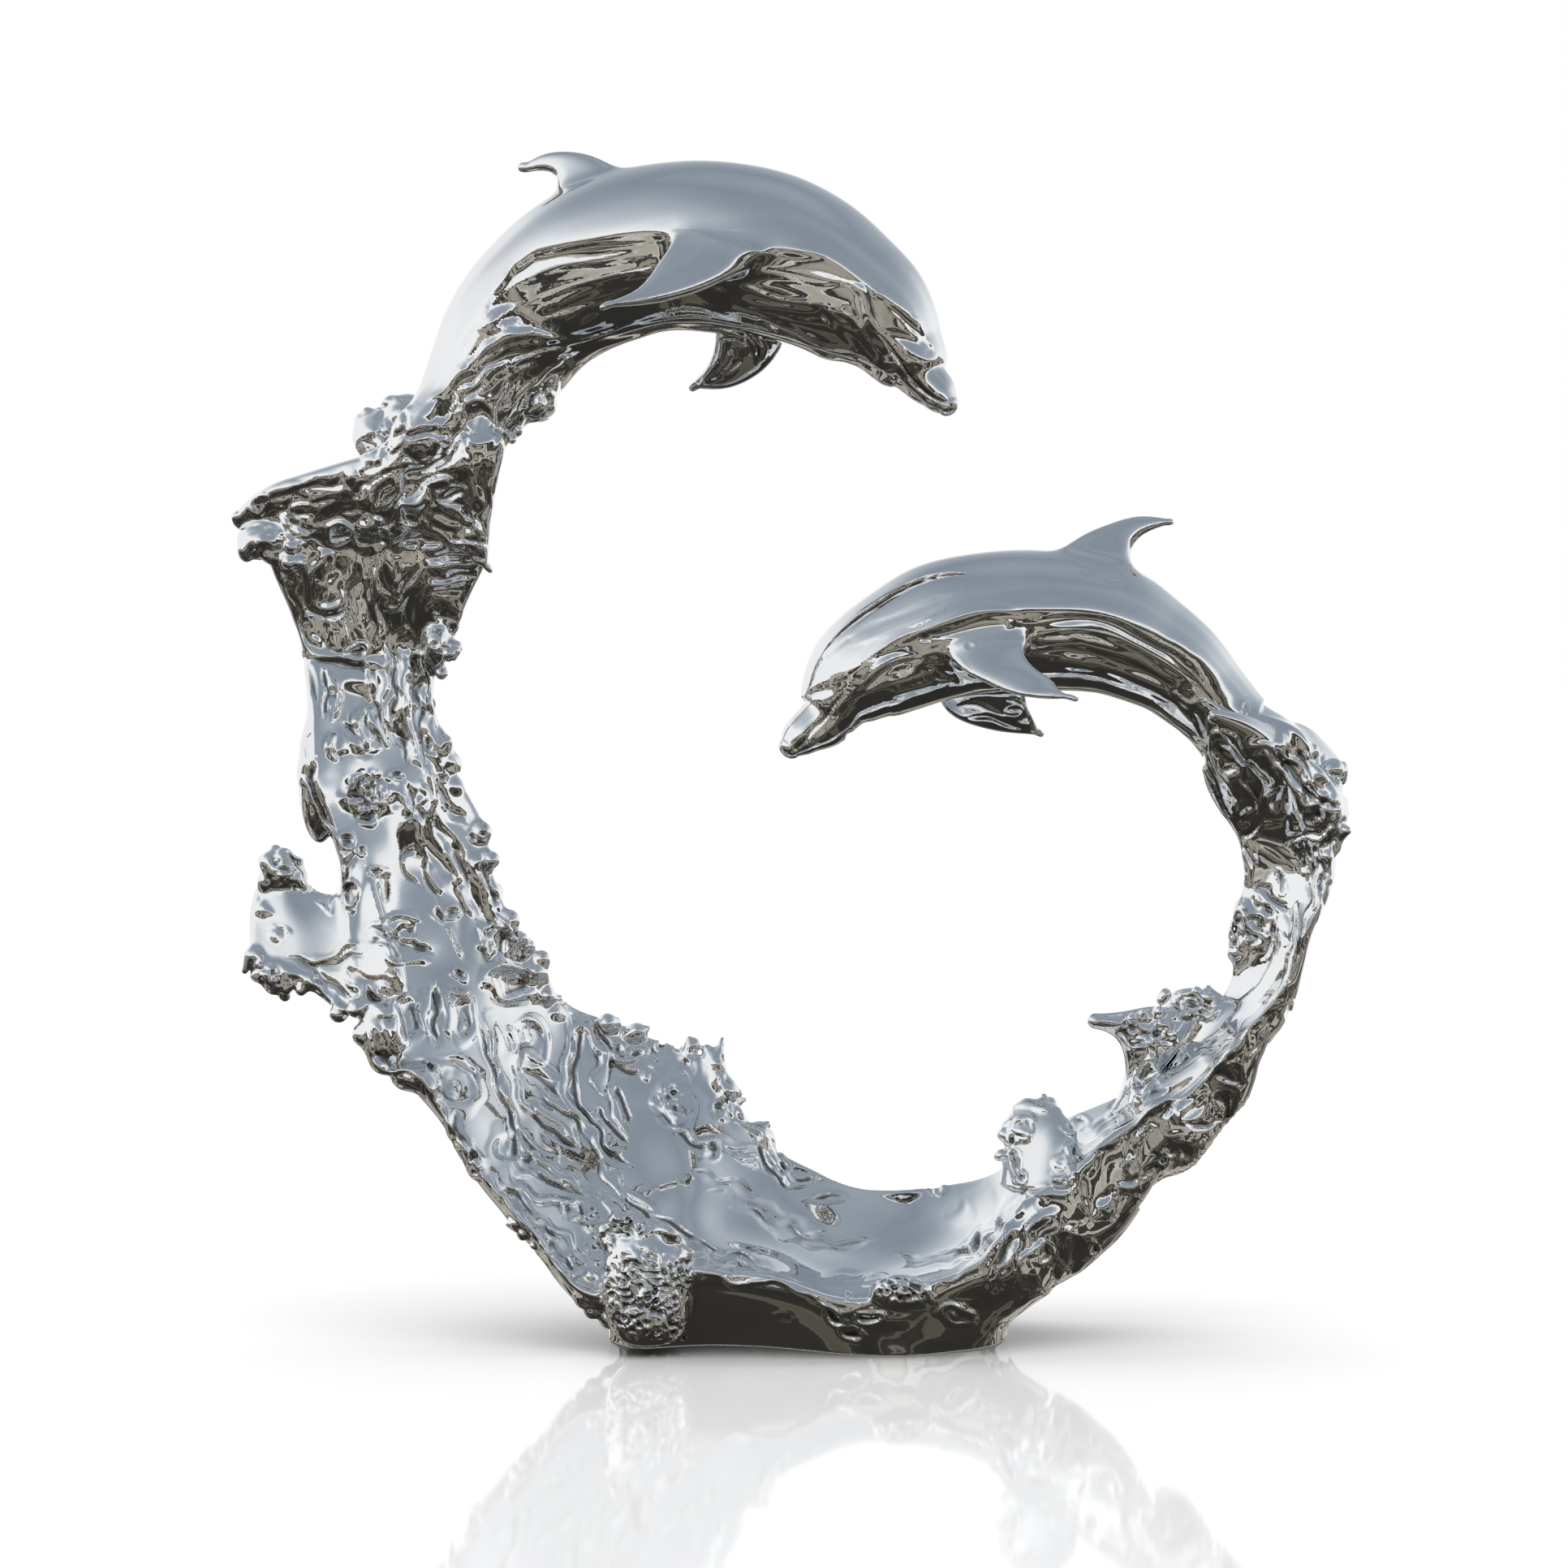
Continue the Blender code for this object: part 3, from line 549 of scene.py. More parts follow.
# Ridges and grooves (height, half width, points[, lip]): below zero cuts in; a lip lets the left-hand side fall off slowly.
STROKES = {
    "mouths": [
        (-2.2, 5, [(1178, 497), (1158, 490), (1141, 479), (1124, 463), (1110, 447), (1096, 430), (1086, 416), (1077, 407)]),
        (-2.0, 4.5, [(966, 923), (978, 916), (991, 904), (1006, 889), (1020, 874), (1032, 858), (1042, 848)]),
        (-2.2, 10, [(1156, 437), (1142, 429), (1122, 419), (1102, 411), (1086, 406)]),
        (-1.8, 9, [(992, 856), (1004, 850), (1018, 846), (1030, 842)]),
    ],
    "upper_head": [
        (1.8, 5, [(1172, 503), (1150, 497), (1128, 481), (1108, 463), (1092, 446)]),
        (2.6, 7, [(1036, 350), (1060, 360), (1070, 384), (1080, 408), (1100, 440)]),
        (-2.0, 6, [(1050, 366), (1058, 388), (1068, 410), (1086, 436)]),
        (2.6, 8, [(905, 345), (940, 361), (985, 371), (1015, 372)]),
        (-2.6, 8, [(900, 365), (940, 373), (990, 381), (1012, 386)]),
        (2.2, 8, [(935, 387), (980, 409), (1020, 425), (1060, 436)]),
        (-2.2, 7, [(1008, 379), (1030, 400), (1050, 420), (1062, 433)]),
        (2.5, 7, [(1024, 380), (1046, 386), (1058, 400), (1062, 416)]),
        (2.0, 9, [(872, 352), (905, 336), (960, 334), (1010, 345), (1050, 350)]),
        (-1.8, 6, [(1090, 372), (1112, 392), (1132, 412), (1146, 426)]),
    ],
    "upper_belly": [
        (3.0, 9, [(640, 375), (700, 350), (750, 335), (800, 328)]),
        (-3.0, 8, [(655, 392), (700, 378), (750, 355), (790, 345)]),
        (2.4, 8, [(590, 402), (620, 384), (660, 371)]),
        (3.0, 8, [(560, 468), (600, 424), (640, 410), (700, 420), (760, 400), (812, 384)]),
        (-3.0, 7, [(568, 482), (610, 440), (660, 431), (720, 411), (780, 392)]),
        (2.5, 7, [(590, 480), (630, 450), (680, 427)]),
        (-2.6, 7, [(690, 440), (740, 420), (800, 405), (870, 402), (930, 409), (1000, 426), (1060, 449), (1100, 470), (1150, 493)]),
        (2.0, 6, [(700, 425), (760, 405), (840, 394), (900, 398), (960, 412), (1040, 437), (1100, 458)]),
        (-2.2, 9, [(600, 372), (640, 334), (690, 312), (750, 305), (812, 300)]),
        (2.2, 7, [(640, 346), (690, 326), (740, 318), (800, 312)]),
    ],
    "upper_far_fin": [
        (2.2, 5, [(905, 408), (922, 425), (925, 443)]), (-2.4, 4.5, [(914, 405), (932, 424), (930, 447)]),
        (2.2, 5, [(934, 413), (941, 430), (931, 450)]), (-2.4, 5, [(870, 470), (893, 452), (903, 428)]),
        (2.2, 5, [(882, 462), (902, 452), (915, 440)]),
    ],
    "wrist": [
        (3.6, 7, [(700, 442), (662, 470), (634, 500), (617, 540)]), (-3.6, 6, [(642, 455), (622, 482), (612, 520), (604, 560)]),
        (-4.0, 9, [(632, 446), (618, 462), (598, 482)]), (3.0, 5, [(604, 452), (580, 470), (562, 492), (550, 512)]),
        (-3.0, 5, [(592, 450), (568, 466), (552, 484), (538, 500)]), (3.0, 5, [(580, 446), (556, 462), (538, 482), (520, 492)]),
        (3.0, 4.5, [(563, 482), (566, 520), (566, 556)]), (-3.2, 4.5, [(571, 482), (573, 520), (571, 552)]),
        (5.0, 9, [(494, 522), (520, 524), (553, 518)]), (-4.5, 6, [(494, 533), (520, 534), (552, 529)]),
        (3.5, 8, [(497, 545), (515, 549), (535, 556)]), (-3.5, 5, [(486, 552), (502, 560), (530, 562), (556, 556)]),
        (3.2, 5, [(455, 560), (470, 545), (485, 525), (500, 506)]), (-3.4, 4.5, [(462, 568), (478, 553), (490, 535), (506, 512)]),
        (3.2, 5, [(468, 577), (488, 560), (505, 552)]), (-3.0, 5, [(446, 574), (470, 566), (492, 549)]),
        (3.4, 5, [(455, 592), (472, 576), (496, 566), (522, 563), (548, 558), (564, 548)]),
        (-3.6, 5, [(498, 602), (503, 582), (525, 569), (560, 563)]),
        (3.6, 5, [(502, 608), (512, 588), (530, 577), (560, 571)]), (-3.6, 5, [(509, 612), (522, 594), (542, 583), (562, 587)]),
        (4.0, 6, [(518, 602), (530, 593), (552, 595)]), (-3.0, 5, [(450, 600), (462, 584), (482, 575)]),
        (3.4, 5, [(576, 560), (580, 600), (585, 640), (590, 672)]), (2.8, 5, [(613, 560), (607, 600), (598, 640), (597, 668)]),
        (-2.8, 5, [(595, 560), (594, 600), (592, 640), (600, 664)]),
        (3.0, 5, [(650, 505), (640, 530), (622, 560)]), (-3.0, 5, [(664, 486), (650, 500), (636, 520)]),
    ],
    "flukes": [
        (-6.0, 13, [(388, 641), (420, 633), (460, 631), (500, 629)]), (3.0, 5, [(420, 634), (436, 632), (446, 628)]),
        (4.0, 6, [(520, 624), (525, 640), (545, 660), (585, 669)]), (-4.5, 7, [(530, 622), (560, 640), (586, 654)]),
        (3.4, 5, [(540, 616), (570, 638), (593, 660)]), (-3.0, 5, [(552, 612), (576, 630), (590, 640)]),
        (2.8, 6, [(306, 623), (336, 603), (380, 590), (425, 579)]), (-3.2, 7, [(322, 618), (370, 606), (415, 592), (440, 578)]),
        (3.0, 5, [(340, 622), (362, 608), (388, 602)]), (-3.0, 5, [(346, 634), (362, 618), (385, 612)]),
        (3.0, 5, [(345, 650), (356, 632), (376, 622), (392, 622)]), (-3.4, 5, [(356, 656), (366, 640), (386, 632)]),
        (3.0, 5, [(418, 612), (424, 590), (440, 578)]), (-3.0, 5, [(430, 612), (440, 596), (452, 588)]),
        (3.0, 5, [(440, 622), (448, 604), (456, 590)]), (-3.0, 5, [(458, 622), (470, 602), (484, 588)]),
        (3.2, 5, [(468, 622), (488, 604), (498, 580)]), (-3.0, 5, [(484, 622), (494, 606), (500, 596)]),
        (3.2, 5, [(300, 672), (314, 656), (334, 650), (348, 658)]), (-3.0, 4.5, [(306, 678), (324, 672), (344, 668)]),
    ],
    "cup": [
        (3.6, 6, [(345, 652), (368, 668), (381, 712), (396, 742), (412, 744), (424, 721), (433, 692)]),
        (-3.4, 5, [(356, 668), (370, 712), (386, 748), (410, 756), (430, 738), (442, 704)]),
        (3.0, 5, [(344, 690), (356, 730), (372, 776), (378, 800)]), (-3.0, 5, [(352, 690), (368, 742), (384, 792)]),
        (3.2, 5, [(374, 744), (384, 770), (396, 792)]), (-2.6, 4.5, [(400, 760), (404, 784), (408, 800)]),
        (2.8, 4.5, [(414, 760), (418, 782), (422, 804)]), (-2.8, 4.5, [(428, 746), (430, 776), (434, 802)]),
        (3.0, 4.5, [(440, 718), (442, 750), (446, 784)]), (-3.0, 4.5, [(451, 706), (452, 744), (456, 792)]),
        (3.0, 4.5, [(460, 700), (461, 742), (464, 800)]),
        (3.4, 5, [(464, 684), (468, 731), (480, 746), (502, 727), (520, 702), (525, 676)]),
        (-3.2, 5, [(472, 690), (477, 722), (486, 730), (504, 706), (512, 684)]),
        (3.6, 6, [(378, 792), (404, 803), (424, 807), (464, 814), (490, 806)]), (-4.2, 6, [(380, 804), (404, 813), (428, 818), (462, 824)]),
        (3.0, 5, [(398, 652), (420, 645), (434, 656), (440, 672), (470, 668), (500, 652), (520, 650)]),
        (-3.2, 6, [(372, 660), (400, 672), (430, 680), (452, 680), (460, 664)]),
        (3.2, 5, [(456, 656), (462, 690), (466, 720)]), (-2.8, 5, [(452, 700), (456, 680), (470, 660)]),
        (3.4, 5, [(524, 696), (560, 694), (598, 690)]), (-4.0, 6, [(522, 706), (556, 706), (588, 702)]),
        (3.0, 5, [(520, 676), (552, 668), (590, 672)]), (-3.4, 5, [(524, 684), (556, 680), (586, 682)]),
        (3.4, 5, [(524, 716), (550, 714), (580, 712)]), (-3.2, 5, [(526, 726), (552, 724), (574, 722)]),
        (3.4, 5, [(527, 740), (546, 748), (568, 742)]), (3.0, 5, [(540, 800), (548, 778), (560, 764), (558, 798)]),
        (-3.2, 4.5, [(474, 757), (477, 800), (480, 844)]), (3.2, 5, [(485, 806), (490, 830), (500, 854)]),
        (-3.0, 4.5, [(508, 800), (512, 830), (518, 866)]), (3.0, 4.5, [(520, 800), (528, 836), (530, 880)]),
        (-3.0, 4.5, [(532, 812), (538, 846), (534, 880)]),
    ],
    "column": [
        (3.6, 7, [(470, 786), (474, 822), (470, 866), (478, 902)]), (-3.6, 6, [(482, 792), (487, 840), (486, 884), (498, 930)]),
        (3.8, 7, [(494, 786), (499, 836), (498, 880), (508, 922)]), (-3.8, 7, [(510, 792), (513, 840), (514, 880), (524, 940)]),
        (3.4, 6, [(524, 800), (528, 846), (530, 890), (540, 930)]), (-3.0, 6, [(540, 820), (542, 860), (548, 900)]),
        (-3.4, 7, [(552, 800), (556, 836), (548, 866)]), (3.0, 6, [(456, 812), (452, 836), (458, 862)]),
        (-3.4, 6, [(398, 816), (404, 850), (402, 880)]), (3.2, 6, [(410, 826), (416, 852), (412, 884)]),
    ],
    "tall_limb": [
        (-3.6, 6, [(344, 704), (360, 749), (372, 788), (382, 812), (387, 844), (390, 876)]),
        (3.2, 5, [(381, 894), (371, 928), (370, 952), (382, 982), (399, 1006), (418, 1030)]),
        (-4.6, 7, [(390, 930), (384, 956), (392, 986), (414, 1018)]),
        (3.4, 5, [(454, 866), (462, 892), (477, 916)]), (-3.2, 4.5, [(462, 860), (474, 884), (488, 906)]),
        (-3.0, 4.5, [(487, 860), (492, 890), (498, 930)]), (3.0, 5, [(499, 858), (506, 890), (508, 925), (518, 948)]),
        (-3.2, 5, [(518, 866), (522, 900), (530, 926)]), (3.0, 5, [(528, 939), (534, 966), (533, 992)]),
        (2.6, 5, [(524, 925), (540, 932), (548, 952)]), (-2.4, 5, [(540, 960), (556, 985), (572, 1010)]),
        (3.0, 6, [(485, 964), (500, 990), (516, 1018), (524, 1044)]), (-2.8, 5, [(500, 962), (512, 984), (524, 1012)]),
        (3.0, 5, [(516, 960), (526, 982), (528, 1008)]),
        (-3.4, 5, [(506, 1036), (498, 1062), (504, 1080), (514, 1085)]), (3.0, 6, [(526, 1060), (534, 1082), (542, 1101)]),
        (-3.0, 5, [(520, 1050), (524, 1078), (534, 1104)]), (3.2, 6, [(550, 1038), (556, 1064), (560, 1090)]),
        (-3.2, 5, [(560, 1030), (566, 1060), (578, 1090)]), (3.2, 6, [(562, 1088), (570, 1106), (578, 1124)]),
        (-3.4, 6, [(532, 1106), (537, 1120), (542, 1131)]), (2.6, 4.5, [(544, 1135), (556, 1150), (570, 1178)]),
        (3.0, 6, [(576, 1040), (586, 1074), (600, 1104), (612, 1130)]), (-3.0, 5, [(590, 1060), (600, 1090), (616, 1118)]),
        (3.2, 5, [(584, 1130), (600, 1150), (606, 1180)]), (-3.4, 5, [(598, 1124), (614, 1146), (620, 1176)]),
        (3.4, 5, [(612, 1120), (630, 1140), (636, 1170)]),
    ],
    "left_splash": [
        (3.4, 5, [(344, 1186), (368, 1197), (386, 1212), (404, 1226), (428, 1243), (446, 1238)]),
        (-3.2, 5, [(350, 1176), (372, 1184), (392, 1200), (410, 1214), (432, 1230)]),
        (2.6, 5, [(371, 1176), (394, 1181), (418, 1168), (446, 1155)]), (-2.6, 4.5, [(376, 1186), (406, 1190), (436, 1176), (456, 1170)]),
        (2.6, 5, [(380, 1097), (394, 1112), (407, 1122), (414, 1100), (419, 1079), (422, 1046)]),
        (-3.2, 5, [(428, 1118), (425, 1092), (430, 1066), (432, 1040)]),
        (-4.6, 7, [(462, 1137), (484, 1148), (508, 1127)]), (-4.6, 7, [(484, 1150), (504, 1158), (526, 1168)]),
        (-4.0, 6, [(456, 1152), (474, 1156), (492, 1172)]), (3.0, 5, [(452, 1142), (468, 1130), (500, 1120), (520, 1126)]),
        (3.0, 5, [(470, 1172), (496, 1182), (524, 1178)]), (-2.6, 4.5, [(426, 1192), (446, 1202), (470, 1206)]),
        (3.0, 5, [(420, 1205), (446, 1214), (474, 1215)]),
    ],
    "cup_row": [
        (3.6, 6, [(440, 1213), (456, 1236), (478, 1243), (490, 1228)]), (-3.6, 5, [(450, 1210), (462, 1226), (480, 1230)]),
        (4.0, 6, [(523, 1210), (520, 1244), (526, 1280)]), (-4.2, 6, [(535, 1206), (533, 1244), (538, 1284)]),
        (4.0, 6, [(548, 1212), (547, 1244), (550, 1278)]), (3.2, 5, [(550, 1212), (562, 1218), (576, 1213)]),
        (3.6, 6, [(450, 1252), (453, 1284), (457, 1304), (469, 1316), (512, 1316), (524, 1330), (536, 1349), (549, 1368)]),
        (-3.4, 6, [(462, 1262), (466, 1290), (480, 1305), (516, 1304), (532, 1318), (546, 1340)]),
        (-3.4, 5, [(540, 1300), (560, 1304), (580, 1318), (586, 1340)]),
        (3.4, 5, [(549, 1366), (552, 1402), (563, 1420), (577, 1440), (601, 1458)]),
        (-3.4, 5, [(560, 1366), (562, 1392), (574, 1412), (590, 1428)]),
    ],
    "hollow": [
        (3.4, 5, [(600, 1196), (618, 1184), (640, 1192), (660, 1212)]), (-2.8, 5, [(596, 1206), (608, 1222), (636, 1233), (660, 1226)]),
        (3.2, 5, [(666, 1192), (674, 1208), (672, 1228)]), (-3.0, 5, [(680, 1196), (690, 1212), (692, 1232)]),
        (3.6, 5, [(634, 1256), (648, 1250), (665, 1260), (674, 1280), (670, 1302), (652, 1296), (642, 1312)]),
        (-4.0, 6, [(641, 1264), (652, 1264), (659, 1276), (656, 1288), (642, 1290), (637, 1302)]),
        (3.2, 5, [(626, 1262), (634, 1280), (630, 1300)]),
    ],
    "bowl": [
        (3.4, 6, [(598, 1243), (604, 1272), (613, 1303), (625, 1340), (637, 1376), (659, 1407), (678, 1421)], 0.7),
        (-3.0, 6, [(586, 1250), (592, 1280), (602, 1312), (614, 1346), (628, 1380), (646, 1404)]),
        (3.2, 6, [(630, 1318), (643, 1351), (655, 1369)]),
        (4.4, 9, [(652, 1352), (680, 1371), (704, 1391), (710, 1408)]), (-3.8, 6, [(710, 1412), (692, 1402), (667, 1384), (648, 1362)]),
        (3.2, 6, [(652, 1335), (680, 1351), (705, 1367), (728, 1388), (738, 1413), (742, 1438), (754, 1459), (776, 1486)], 0.6),
        (3.0, 6, [(693, 1250), (700, 1270), (696, 1304), (696, 1348), (711, 1372), (731, 1400), (748, 1426), (776, 1441)]),
        (-4.0, 6, [(704, 1247), (710, 1270), (706, 1304), (706, 1346), (721, 1369), (740, 1397), (757, 1422), (780, 1436)]),
        (3.2, 6, [(712, 1254), (730, 1278), (738, 1310), (731, 1330), (744, 1348)], 0.6),
        (-3.0, 5, [(722, 1250), (742, 1276), (750, 1310), (744, 1332)]),
        (3.2, 6, [(722, 1363), (738, 1388), (757, 1413), (770, 1419)], 0.5), (-2.8, 5, [(732, 1356), (750, 1384), (768, 1406)]),
        (3.4, 5, [(747, 1328), (754, 1352), (762, 1377), (773, 1400)]), (-3.0, 5, [(758, 1330), (764, 1354), (774, 1380)]),
        (2.6, 5, [(733, 1429), (747, 1444), (760, 1461)]), (2.6, 5, [(739, 1470), (750, 1490), (762, 1504)]),
        (3.0, 6, [(770, 1463), (787, 1477), (810, 1491)]), (-2.8, 5, [(764, 1474), (782, 1488), (802, 1500)]),
        (-3.0, 7, [(787, 1499), (820, 1502), (845, 1520), (879, 1545), (912, 1545), (931, 1551), (960, 1564)]),
        (2.4, 8, [(790, 1512), (818, 1514), (842, 1532), (874, 1556), (910, 1558)]),
        (-3.2, 9, [(900, 1486), (934, 1496), (955, 1508), (980, 1521), (1010, 1533), (1040, 1533), (1076, 1522)]),
        (2.2, 9, [(905, 1472), (940, 1482), (965, 1494), (990, 1508), (1020, 1518)]),
        (-2.6, 7, [(1104, 1544), (1130, 1551), (1158, 1549), (1186, 1536), (1218, 1510)]),
        (-2.0, 7, [(1000, 1574), (1028, 1572), (1060, 1565)]), (-1.6, 6, [(860, 1552), (884, 1562), (910, 1566)]),
        (2.6, 5, [(820, 1380), (836, 1388), (854, 1397), (880, 1403), (904, 1408), (936, 1412)]),
        (-2.2, 5, [(830, 1394), (852, 1406), (880, 1412), (900, 1418)]), (2.4, 5, [(903, 1414), (918, 1424), (934, 1426)]),
        (2.4, 5, [(735, 1290), (760, 1304), (790, 1300)]), (-2.6, 5, [(742, 1304), (766, 1316), (790, 1318)]),
        (-2.0, 8, [(850, 1440), (890, 1452), (930, 1470)]), (1.8, 12, [(700, 1440), (740, 1480), (800, 1520)]),
        (-2.0, 7, [(640, 1310), (660, 1322), (690, 1346)]), (2.0, 9, [(655, 1300), (676, 1316), (692, 1332)]),
        (3.2, 5, [(903, 1380), (920, 1386), (938, 1393), (944, 1410), (952, 1424), (966, 1444), (982, 1456), (1004, 1448)]),
        (-3.0, 5, [(928, 1404), (938, 1424), (950, 1444), (972, 1462)]),
    ],
    "pocket": [
        (3.4, 5, [(636, 1390), (652, 1423), (692, 1445), (718, 1470)]), (-3.6, 6, [(628, 1404), (642, 1432), (672, 1452), (700, 1466)]),
        (3.6, 6, [(600, 1452), (624, 1480), (649, 1508), (667, 1533), (678, 1562)]),
        (-3.6, 6, [(612, 1450), (636, 1478), (660, 1500), (686, 1524)]),
        (3.0, 6, [(648, 1492), (672, 1505), (694, 1518), (706, 1540)]), (-3.0, 5, [(667, 1518), (684, 1540), (704, 1560)]),
        (3.0, 6, [(626, 1440), (640, 1462), (676, 1478), (716, 1478)]),
    ],
    "front_rim": [
        (2.6, 5, [(860, 1566), (888, 1577), (916, 1580), (949, 1575), (980, 1589), (1012, 1606), (1054, 1612), (1074, 1602)]),
        (2.6, 5, [(1141, 1577), (1158, 1575), (1192, 1561), (1222, 1531), (1246, 1495), (1276, 1471), (1312, 1471), (1336, 1447)]),
        (-2.2, 4.5, [(1150, 1566), (1186, 1552), (1216, 1523), (1240, 1488), (1268, 1464), (1304, 1462)]),
        (2.0, 4.5, [(1160, 1556), (1190, 1542), (1214, 1514), (1236, 1480), (1262, 1456)]),
        (-2.0, 4.5, [(1168, 1548), (1196, 1530), (1222, 1500), (1250, 1466)]),
        (2.4, 5, [(1180, 1534), (1200, 1516), (1220, 1496)]), (2.6, 5, [(1206, 1530), (1214, 1516), (1222, 1510)]),
        (-2.8, 5, [(1216, 1512), (1232, 1502), (1246, 1488)]),
        (1.0, 14, [(1060, 1628), (1110, 1622), (1150, 1600)]),
    ],
    "short_limb": [
        (3.0, 5, [(1590, 1230), (1552, 1248), (1538, 1274), (1515, 1296), (1489, 1318), (1471, 1341), (1441, 1352), (1411, 1370), (1389, 1393), (1359, 1408), (1337, 1419), (1330, 1447)]),
        (-2.6, 5, [(1580, 1226), (1542, 1244), (1528, 1268), (1505, 1288), (1480, 1308), (1462, 1330), (1432, 1342), (1402, 1360)]),
        (-2.2, 4.5, [(1395, 1375), (1362, 1392), (1340, 1404), (1322, 1402)]), (2.4, 5, [(1330, 1404), (1310, 1420), (1300, 1440)]),
        (2.2, 5, [(1372, 1364), (1352, 1380), (1330, 1392)]), (-2.2, 5, [(1388, 1340), (1378, 1356), (1360, 1366)]),
        (3.2, 5, [(1510, 1290), (1500, 1312), (1524, 1308), (1534, 1324), (1516, 1328)]),
        (-3.6, 6, [(1492, 1320), (1514, 1322), (1532, 1330), (1526, 1340)]),
        (3.6, 6, [(1500, 1340), (1512, 1330), (1528, 1340), (1520, 1362), (1500, 1384), (1470, 1390), (1452, 1382)]),
        (-3.6, 6, [(1510, 1350), (1500, 1374), (1478, 1384), (1462, 1376)]),
        (3.4, 5, [(1454, 1372), (1470, 1352), (1488, 1342), (1486, 1360), (1472, 1374), (1456, 1374)]),
        (4.6, 9, [(1438, 1392), (1462, 1402), (1490, 1396), (1500, 1378)]), (-4.0, 7, [(1436, 1408), (1460, 1420), (1488, 1414), (1504, 1396)]),
        (-3.0, 10, [(1442, 1356), (1430, 1374), (1432, 1392)]),
        (3.4, 5, [(1420, 1388), (1404, 1400), (1392, 1424), (1384, 1444)]), (-3.2, 5, [(1432, 1410), (1420, 1434), (1410, 1458)]),
        (3.2, 5, [(1404, 1392), (1408, 1410), (1404, 1432), (1410, 1452)]), (3.4, 5, [(1378, 1448), (1390, 1460), (1406, 1456), (1412, 1440)]),
        (-3.4, 5, [(1384, 1440), (1394, 1450), (1404, 1444)]), (3.2, 5, [(1425, 1422), (1448, 1418), (1440, 1440), (1424, 1428)]),
        (3.2, 6, [(1350, 1414), (1336, 1440), (1332, 1470), (1340, 1500)]), (-3.6, 9, [(1384, 1400), (1362, 1424), (1350, 1456), (1346, 1486)]),
        (3.2, 6, [(1376, 1452), (1364, 1470), (1358, 1492), (1342, 1502)]), (-3.0, 5, [(1390, 1464), (1376, 1484), (1362, 1500)]),
        (2.8, 5, [(1376, 1464), (1364, 1482), (1356, 1490)]),
        (-4.0, 12, [(1280, 1480), (1310, 1490), (1330, 1514)]), (3.4, 6, [(1296, 1494), (1278, 1504), (1264, 1526)]),
        (-3.2, 6, [(1306, 1500), (1290, 1516), (1272, 1538)]), (3.2, 6, [(1256, 1530), (1244, 1560), (1240, 1590)]),
        (-3.4, 6, [(1246, 1520), (1230, 1550), (1224, 1576)]), (3.0, 6, [(1240, 1516), (1222, 1546), (1216, 1574), (1236, 1572)]),
        (3.4, 5, [(1300, 1528), (1280, 1536), (1262, 1556), (1252, 1590)]), (-3.2, 5, [(1312, 1530), (1310, 1556), (1304, 1580)]),
        (3.2, 5, [(1320, 1520), (1316, 1546), (1306, 1576)]), (2.6, 5, [(1300, 1584), (1280, 1596), (1262, 1600)]),
        (3.4, 5, [(1586, 1240), (1578, 1258), (1560, 1278), (1550, 1300), (1532, 1328)]), (-3.0, 5, [(1574, 1246), (1560, 1262), (1548, 1286), (1536, 1304)]),
        (3.0, 5, [(1560, 1250), (1548, 1266), (1540, 1288)]),
    ],
    "claw": [
        (3.0, 5, [(1352, 1258), (1375, 1251), (1400, 1250), (1426, 1246)]), (-3.4, 5, [(1364, 1264), (1388, 1264), (1410, 1266), (1440, 1262)]),
        (3.2, 5, [(1372, 1268), (1386, 1276), (1396, 1290)]), (-3.0, 5, [(1384, 1266), (1398, 1276), (1404, 1288)]),
        (3.2, 5, [(1396, 1296), (1402, 1318), (1394, 1344), (1402, 1352), (1416, 1340), (1428, 1318), (1420, 1296)]),
        (-3.6, 8, [(1412, 1300), (1408, 1322), (1402, 1340)]),
        (3.4, 5, [(1444, 1268), (1452, 1288), (1444, 1308), (1430, 1320)]), (-3.2, 5, [(1430, 1282), (1440, 1290), (1434, 1304)]),
        (2.8, 5, [(1443, 1234), (1462, 1222), (1488, 1230), (1500, 1240), (1490, 1250), (1464, 1242), (1446, 1248)]),
        (-2.6, 4.5, [(1452, 1232), (1468, 1230), (1484, 1238)]),
    ],
    "branch": [
        (3.4, 5, [(1492, 912), (1496, 900), (1510, 898), (1524, 912), (1532, 930), (1528, 958)]),
        (-3.4, 8, [(1506, 912), (1514, 930), (1512, 950)]), (3.2, 5, [(1492, 916), (1500, 940), (1514, 966), (1522, 992)]),
        (-3.0, 5, [(1484, 920), (1494, 950), (1506, 980), (1516, 1006)]), (3.0, 5, [(1476, 926), (1488, 956), (1500, 986), (1512, 1010)]),
        (3.2, 5, [(1528, 914), (1550, 910), (1570, 922)]), (-4.4, 14, [(1548, 926), (1550, 956), (1546, 986)]),
        (3.4, 5, [(1552, 996), (1556, 976), (1572, 960)]), (3.4, 5, [(1568, 998), (1574, 976), (1582, 958)]), (-3.0, 5, [(1562, 998), (1566, 976), (1578, 958)]),
        (3.6, 6, [(1562, 926), (1576, 942), (1592, 964), (1600, 990), (1603, 1014)]), (-3.6, 5, [(1572, 922), (1588, 944), (1602, 966), (1608, 990)]),
        (3.4, 5, [(1574, 916), (1592, 934), (1612, 952), (1622, 966)]), (-3.4, 5, [(1590, 916), (1606, 934), (1626, 950)]),
        (3.4, 5, [(1600, 918), (1612, 934), (1634, 954)]), (3.2, 5, [(1618, 930), (1630, 944), (1640, 960)]),
        (3.2, 5, [(1608, 978), (1614, 990), (1624, 976), (1640, 978)]), (-4.2, 6, [(1600, 960), (1614, 972), (1622, 986)]),
